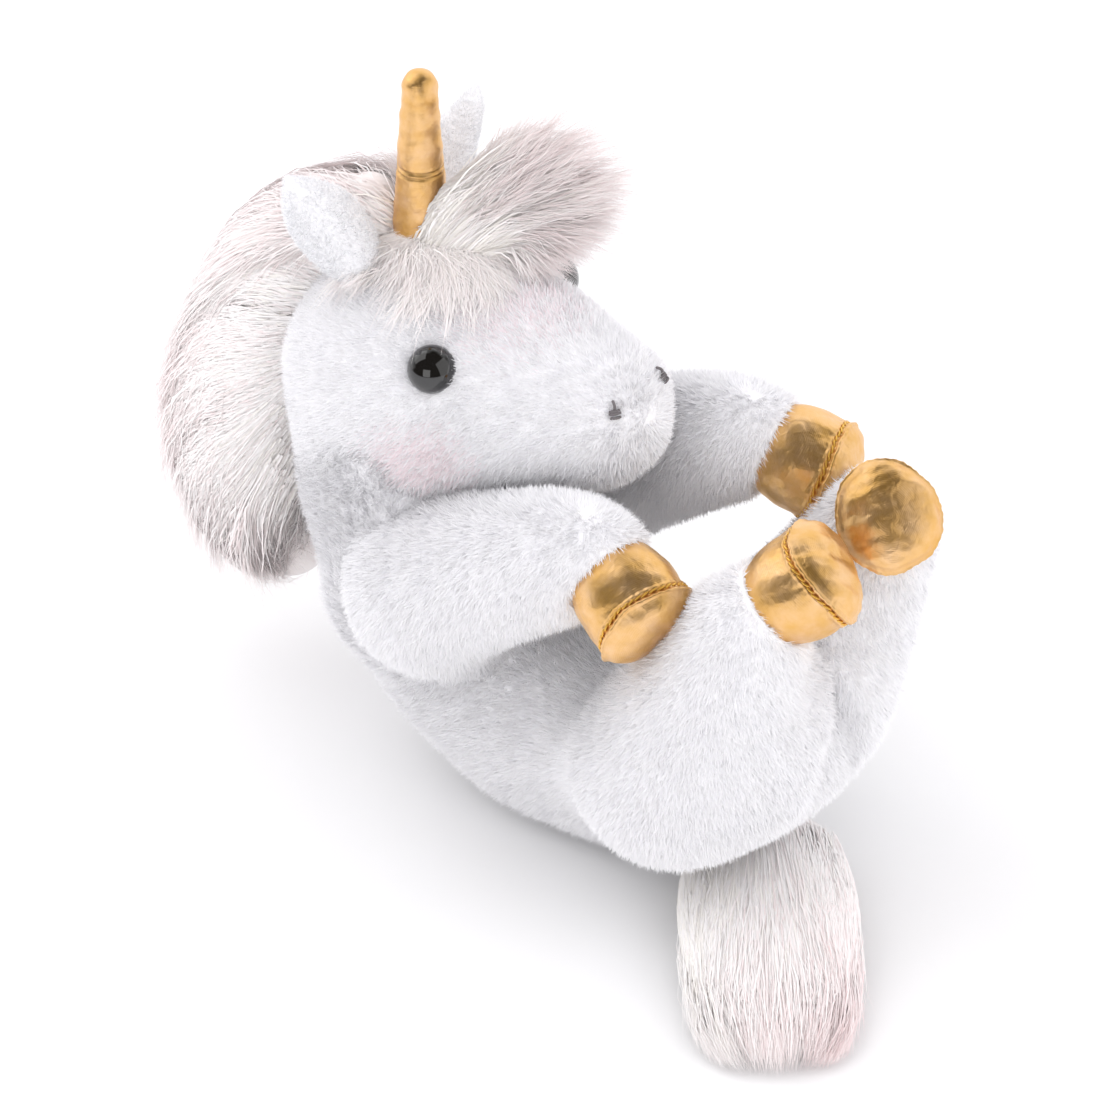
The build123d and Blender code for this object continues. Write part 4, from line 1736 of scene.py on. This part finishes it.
@dataclass
class Tail:
    """The tail: a brush of long hair that lies on the floor, swept to the right."""

    dresser: Dresser

    def build(self) -> None:
        """Make the tail's core and hair."""
        rng = self.dresser.rng
        start, end = np.array([1.0, -50.0, 0.0]), np.array([-61.0, -99.0, 0.0])
        length = float(np.linalg.norm(end - start))
        along = unit(end - start)
        across = np.cross(UP, along)
        share = np.linspace(0, 1, 30)
        spine = start + along * (2 + share * length * 0.66)[:, None] + UP * 8.5
        form = Heart(spine, 16 + 3.5 * np.sin(share * math.pi), UP, 0.46)
        skin = form.skin()
        backing = [self.dresser.wardrobe.hair_backing]
        heart = make_piece("tail_heart", skin.points, skin.faces, backing)
        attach(heart, "tail")
        brush = Bundle(250, 70, 1.5, 2.3, 2.4, 0.8, 6, 0.42)
        place = rng.uniform(0, 0.55, brush.locks) ** 1.15
        turn = rng.uniform(0, math.pi, brush.locks)
        spread, lift = np.cos(turn), np.sin(turn)
        roots = (
            start
            + along * (place * length)[:, None]
            + across * (spread * (14 + 3 * place))[:, None]
        )
        roots[:, 2] = 2.5 + lift * (13 + 2 * place)
        far = np.maximum(0.66 + 0.38 * rng.random(brush.locks) ** 0.8, place + 0.34)
        ends = start + along * (length * far)[:, None]
        ends += across * (spread * (22 - 7 * far))[:, None]
        ends[:, 2] = 1.0 + lift * (13 - 10 * far)
        middles = (roots + ends) / 2 + across * (spread * 9)[:, None]
        middles[:, 2] = 3 + lift * 19
        paths, lock = comb_locks(brush, roots, middles, ends, rng)
        paths = coat(form, paths, 2.6, 12.0, rng)
        warmth = 0.9 + 1.0 * spread[lock] + 0.5 * swirl(roots[lock], 26.0, 1.0)[:, 0]
        tones = hair_tones(warmth, brush.steps, 1.3, rng, 4)
        facing = unit(across * spread[lock][:, None] + UP * (lift[lock] + 0.3)[:, None])
        facing = unit(facing + rng.normal(0, 0.12, facing.shape))
        points, faces, index = Strands(paths, tones, brush.width).ribbons(facing, rng)
        piece = make_piece("tail_brush", points, faces, self.dresser.wardrobe.hair, index)
        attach(piece, "tail")
        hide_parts("tail_hair")
        LOG.info("tail_brush: %d faces", len(faces))


@dataclass(frozen=True)
class Lamp:
    """A soft light, placed in metres from the toy as the camera sees it."""

    name: str
    aside: float  # to the camera's right
    above: float
    towards: float  # the camera
    size: float
    power: float  # watts


LAMPS = (
    Lamp("key", -0.8, 0.9, 0.5, 1.1, 4.3),
    Lamp("fill", 1.0, 0.1, 0.8, 1.2, 3.8),
    Lamp("low_fill", -0.3, -0.45, 1.2, 0.6, 1.6),
)


@dataclass
class Studio:
    """The pale floor, the soft lights and the camera."""

    azimuth: float = -53.0
    elevation: float = 36.0
    distance: float = 2.2
    frame_width: float = 0.2744
    sensor: float = 36.0

    def look_from(self) -> tuple[Vector, Vector, Vector, Vector]:
        """The point looked at, and the camera's back, right and up directions."""
        turn, tilt = math.radians(self.azimuth), math.radians(self.elevation)
        target = Vector((0.0, 0.012, 0.069))
        back = Vector(
            (math.sin(turn) * math.cos(tilt), -math.cos(turn) * math.cos(tilt), math.sin(tilt))
        )
        right = Vector((0, 0, 1)).cross(back).normalized()
        return target, back, right, back.cross(right)

    def build(self) -> None:
        """Make the camera, floor, lights and surroundings."""
        target, back, right, up = self.look_from()
        lens = bpy.data.cameras.new("camera")
        lens.sensor_width = self.sensor
        lens.lens = self.sensor * self.distance / self.frame_width
        lens.clip_end = 20
        camera = bpy.data.objects.new("camera", lens)
        camera.location = target + back * self.distance
        camera.rotation_euler = back.to_track_quat("Z", "Y").to_euler()
        bpy.context.scene.collection.objects.link(camera)
        bpy.context.scene.camera = camera
        bpy.context.scene.view_settings.view_transform = "Standard"
        floor = make_piece(
            "floor",
            FLOOR_SPAN * np.array([[-1, -1, 0], [1, -1, 0], [1, 1, 0], [-1, 1, 0]], float),
            np.array([[0, 1, 2, 3]]),
            [self.floor_material()],
        )
        for lamp in LAMPS:
            place = target + right * lamp.aside + up * lamp.above + back * lamp.towards
            self.hang(lamp, place)
        bpy.context.scene.world = self.surroundings(back)

    def surroundings(self, back: Vector) -> bpy.types.World:
        """White walls for soft light, with a dim room behind the camera in what shines.

        Args:
            back: The direction from the toy to the camera.

        Returns:
            The world.
        """
        world = bpy.data.worlds.new("surroundings")
        world.use_nodes = True
        nodes = Nodes(world.node_tree)
        white = world.node_tree.nodes["Background"]
        white.inputs["Color"].default_value = rgb(0.985, 0.975, 1.0)
        white.inputs["Strength"].default_value = 1.04
        place = nodes.add("TexCoord")
        facing = nodes.add("VectorMath", operation="DOT_PRODUCT")
        nodes.join(place.outputs["Generated"], facing.inputs[0])
        facing.inputs[1].default_value = back
        streak = nodes.add("TexNoise", Scale=2.2, Detail=1.0)
        nodes.join(place.outputs["Generated"], streak.inputs["Vector"])
        mix = nodes.add("Math", operation="MULTIPLY_ADD")
        mix.inputs[1].default_value = 1.1
        nodes.join(streak.outputs["Fac"], mix.inputs[0])
        nodes.join(facing.outputs["Value"], mix.inputs[2])
        room = nodes.add("ValToRGB")
        room.color_ramp.elements[0].position = 0.55
        room.color_ramp.elements[0].color = rgb(1.0, 1.0, 1.0)
        room.color_ramp.elements[1].position = 1.0
        room.color_ramp.elements[1].color = rgb(0.055, 0.042, 0.018)
        nodes.join(mix.outputs[0], room.inputs["Fac"])
        shine = nodes.add("Background", Strength=1.25)
        nodes.join(room.outputs["Color"], shine.inputs["Color"])
        ray = nodes.add("LightPath")
        choose = nodes.add("MixShader")
        nodes.join(ray.outputs["Is Glossy Ray"], choose.inputs["Fac"])
        nodes.join(white.outputs[0], choose.inputs[1])
        nodes.join(shine.outputs[0], choose.inputs[2])
        nodes.join(choose.outputs[0], world.node_tree.nodes["World Output"].inputs["Surface"])
        return world

    def hang(self, lamp: Lamp, place: Vector) -> None:
        """Hang a square soft light that faces the toy.

        Args:
            lamp: The light's sizes.
            place: Where it hangs, in metres.
        """
        light = bpy.data.lights.new(lamp.name, "AREA")
        light.size = lamp.size
        light.energy = lamp.power
        hung = bpy.data.objects.new(lamp.name, light)
        hung.location = place
        hung.rotation_euler = (place - self.look_from()[0]).to_track_quat("Z", "Y").to_euler()
        bpy.context.scene.collection.objects.link(hung)

    def floor_material(self) -> bpy.types.Material:
        """Plain pale matt floor."""
        material, _, shader = new_material("floor_white")
        shader.inputs["Base Color"].default_value = rgb(0.95, 0.95, 0.95)
        shader.inputs["Roughness"].default_value = 0.9
        return material


def dress_inner_nodes(wardrobe: Wardrobe) -> None:
    """Give the sealed inner nodes their finishes.

    Args:
        wardrobe: The finishes.
    """
    for name, node in frame["nodes"].items():
        if "stuffing" in name:
            finish = wardrobe.filling
        elif "washer" in name:
            finish = wardrobe.washer
        elif name == "tail_root":
            finish = wardrobe.hair_backing
        else:
            continue
        for slot in node.material_slots:
            slot.link = "OBJECT"
            slot.material = finish


def main() -> None:
    """Build the toy from its body outwards, then the studio."""
    wardrobe = Wardrobe()
    dress_inner_nodes(wardrobe)
    hooves = (
        (True, Side.LEFT, (0.25, -0.91, -0.34), 20.0),
        (True, Side.RIGHT, (-0.20, -0.87, -0.46), 75.0),
        (False, Side.LEFT, (-0.65, -0.49, 0.59), 110.0),
        (False, Side.RIGHT, (0.46, -0.64, 0.62), 40.0),
    )
    legs = [Leg(Dresser(wardrobe, 20 + seed), *hoof) for seed, hoof in enumerate(hooves)]
    head = Head(Dresser(wardrobe, 12))
    torso = Torso(Dresser(wardrobe, 11), [leg.limb() for leg in legs], head.balls())
    torso.build()
    body = Blob(*torso.path())
    for leg in legs:
        leg.build(body)
    head.build(body)
    Horn(Dresser(wardrobe, 13)).build()
    for side, tip in ((Side.LEFT, (35.0, 66.0, 166.5)), (Side.RIGHT, (-35.0, 67.0, 178.0))):
        Ear(Dresser(wardrobe, 30), side, tip).build()
        Eye(Dresser(wardrobe, 31), side).build()
        Nostril(Dresser(wardrobe, 32), side).build()
    Mane(Dresser(wardrobe, 40)).build()
    Forelock(Dresser(wardrobe, 41)).build()
    Tail(Dresser(wardrobe, 42)).build()
    Studio().build()


if __name__ == "__main__":
    logging.basicConfig(level=logging.INFO, format="%(message)s")
    main()
